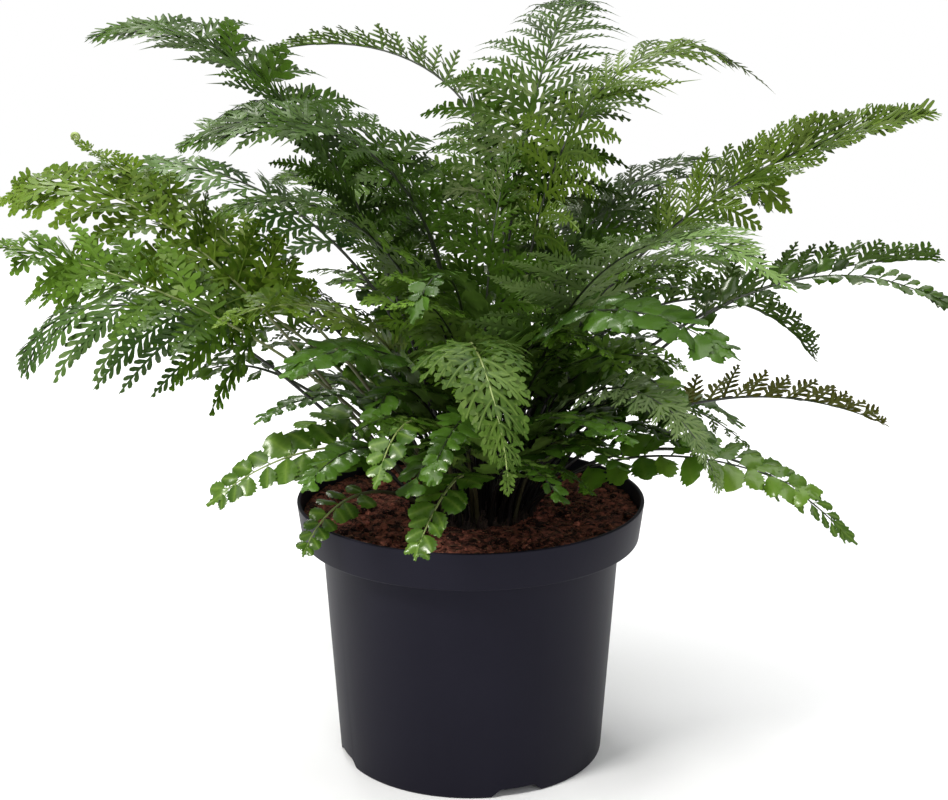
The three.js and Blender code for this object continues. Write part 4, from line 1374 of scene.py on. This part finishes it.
def add_scale(bm, draw, tone_layer):
    """A narrow pointed scale of the crown, bent outwards: a thin four-sided spike."""
    spread = CROWN_RADIUS * math.sqrt(draw.random()) * SCALE_SPREAD
    turn = chance(draw, "compass")
    out = Vector((math.cos(turn), math.sin(turn), 0))
    base = CROWN_CENTRE + out * spread + UP * SCALE_FOOT
    length = chance(draw, "scale length") * MM
    foot, tip = SCALE_RADII
    made = bmesh.ops.create_cone(bm, cap_ends=True, segments=4, radius1=foot, radius2=tip, depth=length)
    lean = out * chance(draw, "scale lean")
    lean += Vector((chance(draw, "scale aside"), chance(draw, "scale aside"), 0))
    tone = draw.random()
    for vert in made["verts"]:
        share = vert.co.z / length + 0.5
        place = Vector((vert.co.x, vert.co.y * SCALE_FLATNESS, 0))
        place = Matrix.Rotation(turn + math.pi / 2, 3, "Z") @ place
        vert.co = base + place + UP * share * length * SCALE_RISE + lean * length * share ** 2 * SCALE_BEND
        vert[tone_layer] = tone


# ---- Settings ----


def length_setting(name, description, millimetres):
    return FloatProperty(
        name=name, description=description, default=millimetres * MM, unit="LENGTH", subtype="DISTANCE"
    )


def power_setting(name, description, watts):
    return FloatProperty(name=name, description=description, default=watts, unit="POWER")


class PotSettings(bpy.types.PropertyGroup):
    band: length_setting("Band", "Depth of the band under the rim", 18.7)
    band_radius: length_setting("Band radius", "Radius of the band's foot", 82.5)
    neck_radius: length_setting("Neck radius", "Radius under the band", 73.0)
    foot_radius: length_setting("Foot radius", "Radius of the foot", 65.5)
    wall: length_setting("Wall", "Thickness of the wall", 1.8)
    floor: length_setting("Floor", "Thickness of the floor", 2.2)
    peat_height: length_setting("Peat", "Height of the peat's surface", 123.6)


class StageSettings(bpy.types.PropertyGroup):
    floor_colour: FloatVectorProperty(
        name="Floor", description="Colour of the floor", subtype="COLOR", size=3, default=(0.92, 0.92, 0.92)
    )
    floor_size: length_setting("Floor size", "Side of the floor", 2600)
    sky: FloatProperty(name="Sky", description="Strength of the light from all round", default=0.33)
    key: power_setting("Key light", "Power of the main light", 27.0)
    fill: power_setting("Fill light", "Power of the light in front", 8.0)
    back: power_setting("Back light", "Power of the light from behind", 11.0)
    top: power_setting("Top light", "Power of the light from above", 54.0)


# ---- Stage ----

# The camera: where it stands, how far it looks down in degrees, and its lens and sensor.
CAMERA_PLACE = (1.6 * MM, -901.5 * MM, 422.3 * MM)
CAMERA_PITCH = 15.12
CAMERA_LENS = 73.29
CAMERA_SENSOR = 36

# The lights: place, aim, sides, all in metres, and colour. Their power is among the settings.
PLANT_MIDDLE = (0, 0, 0.2)
LIGHTS = {
    "key": ((-0.9, -0.9, 1.5), PLANT_MIDDLE, (0.42, 0.42), (1.0, 0.99, 0.97)),
    "fill": ((0.6, -1.7, 0.8), PLANT_MIDDLE, (0.8, 1.2), (0.96, 0.98, 1.0)),
    "back": ((-0.5, 1.3, 1.7), PLANT_MIDDLE, (0.45, 0.45), (1.0, 1.0, 1.0)),
    "top": ((0.0, 0.45, 2.1), (0, 0.45, 0), (2.6, 2.6), (1.0, 1.0, 1.0)),
}


def add_floor(side, colour):
    bm = bmesh.new()
    bmesh.ops.create_grid(bm, x_segments=1, y_segments=1, size=side / 2)
    floor = bpy.data.objects.new("floor", new_mesh("floor", bm))
    floor.data.materials.append(floor_material(colour))
    bpy.context.scene.collection.objects.link(floor)


def studio_world(sky):
    """White light from all round, and plain white where the camera looks past the floor."""
    world = bpy.data.worlds.new("studio")
    world.use_nodes = True
    world.node_tree.nodes.clear()
    paint = Link(world.node_tree)
    seen = paint.node("ShaderNodeLightPath", output="Is Camera Ray")
    strength = paint.node("ShaderNodeMapRange", sockets={"Value": seen, "To Min": sky, "To Max": 1.0})
    light = paint.node("ShaderNodeBackground", sockets={"Color": (1, 1, 1, 1), "Strength": strength})
    paint.node("ShaderNodeOutputWorld", sockets={"Surface": light})
    return world


def add_area_light(name, power, place, aim, sides, colour):
    data = bpy.data.lights.new(name, "AREA")
    data.shape = "RECTANGLE"
    data.size, data.size_y = sides
    data.energy = power
    data.color = colour
    light = bpy.data.objects.new(name, data)
    light.location = place
    light.rotation_euler = (Vector(aim) - Vector(place)).to_track_quat("-Z", "Y").to_euler()
    bpy.context.scene.collection.objects.link(light)


def add_camera():
    data = bpy.data.cameras.new("camera")
    data.sensor_fit = "HORIZONTAL"
    data.sensor_width = CAMERA_SENSOR
    data.lens = CAMERA_LENS
    camera = bpy.data.objects.new("camera", data)
    camera.location = CAMERA_PLACE
    camera.rotation_euler = (math.radians(90 - CAMERA_PITCH), 0, 0)
    bpy.context.scene.collection.objects.link(camera)
    bpy.context.scene.camera = camera


# ---- Operators ----


class FERN_OT_stage(bpy.types.Operator):
    """Set up the floor, the lights and the camera"""

    bl_idname = "fern.stage"
    bl_label = "Stage"

    def execute(self, context):
        stage = context.scene.fern_stage
        add_floor(stage.floor_size, stage.floor_colour)
        context.scene.world = studio_world(stage.sky)
        for name, values in LIGHTS.items():
            add_area_light(name, getattr(stage, name), *values)
        add_camera()
        context.scene.view_settings.view_transform = "Standard"
        return {"FINISHED"}


class FERN_OT_pot(bpy.types.Operator):
    """Make the pot, with its rim band, drain arches and holes"""

    bl_idname = "fern.pot"
    bl_label = "Pot"

    def execute(self, context):
        add_piece("nursery_pot", pot_mesh(context.scene.fern_pot), [pot_material()], "pot_plastic", "pot")
        return {"FINISHED"}


class FERN_OT_peat(bpy.types.Operator):
    """Make the peat with its crumbs, and the fibres on it"""

    bl_idname = "fern.peat"
    bl_label = "Peat"

    def execute(self, context):
        sizes = context.scene.fern_pot
        add_piece("peat_fill", peat_mesh(sizes), [peat_material()], "peat", "soil")
        add_piece("peat_fibres", fibre_mesh(sizes), [fibre_material()], "peat")
        return {"FINISHED"}


class FERN_OT_crown(bpy.types.Operator):
    """Make the matted crown that the fronds grow from"""

    bl_idname = "fern.crown"
    bl_label = "Crown"

    def execute(self, context):
        add_piece("rootstock", crown_mesh(), [crown_material()], "crown", "crown")
        return {"FINISHED"}


class FERN_OT_cut_fronds(bpy.types.Operator):
    """Make the finely cut fronds"""

    bl_idname = "fern.cut_fronds"
    bl_label = "Cut fronds"

    def execute(self, context):
        add_fronds(CUT_FRONDS, "cut_leaf")
        return {"FINISHED"}


class FERN_OT_young_fronds(bpy.types.Operator):
    """Make the young, lacy fronds"""

    bl_idname = "fern.young_fronds"
    bl_label = "Young fronds"

    def execute(self, context):
        add_fronds(YOUNG_FRONDS, "young_leaf")
        return {"FINISHED"}


class FERN_OT_broad_fronds(bpy.types.Operator):
    """Make the fronds with broad, glossy leaflets"""

    bl_idname = "fern.broad_fronds"
    bl_label = "Broad fronds"

    def execute(self, context):
        add_fronds(BROAD_FRONDS, "glossy_leaf")
        return {"FINISHED"}


class FERN_OT_inner_fronds(bpy.types.Operator):
    """Make the short fronds that fill the middle of the plant"""

    bl_idname = "fern.inner_fronds"
    bl_label = "Inner fronds"

    def execute(self, context):
        for row in TIERS:
            for frond in inner_fronds(dict(zip(TIER_KEYS, row))):
                slot = "glossy_leaf" if frond["form"] in BROAD_FORMS else "cut_leaf"
                add_frond(f"inner_{frond['name']}".replace(" ", "_"), frond, slot)
        return {"FINISHED"}


class FERN_PT_panel(bpy.types.Panel):
    """Lists the pieces of the potted fern"""

    bl_label = "Potted fern"
    bl_idname = "FERN_PT_panel"
    bl_space_type = "VIEW_3D"
    bl_region_type = "UI"
    bl_category = "Fern"

    def draw(self, context):
        for settings in (context.scene.fern_pot, context.scene.fern_stage):
            for name in settings.__annotations__:
                self.layout.prop(settings, name)
        for operator in OPERATORS:
            self.layout.operator(operator.bl_idname)


OPERATORS = (
    FERN_OT_stage,
    FERN_OT_pot,
    FERN_OT_peat,
    FERN_OT_crown,
    FERN_OT_cut_fronds,
    FERN_OT_young_fronds,
    FERN_OT_broad_fronds,
    FERN_OT_inner_fronds,
)
CLASSES = (PotSettings, StageSettings, *OPERATORS, FERN_PT_panel)


def register():
    for made in CLASSES:
        bpy.utils.register_class(made)
    bpy.types.Scene.fern_pot = PointerProperty(type=PotSettings)
    bpy.types.Scene.fern_stage = PointerProperty(type=StageSettings)


def unregister():
    del bpy.types.Scene.fern_stage
    del bpy.types.Scene.fern_pot
    for made in reversed(CLASSES):
        bpy.utils.unregister_class(made)


def main():
    register()
    for operator in OPERATORS:
        area, name = operator.bl_idname.split(".")
        getattr(getattr(bpy.ops, area), name)()


if __name__ == "__main__":
    main()
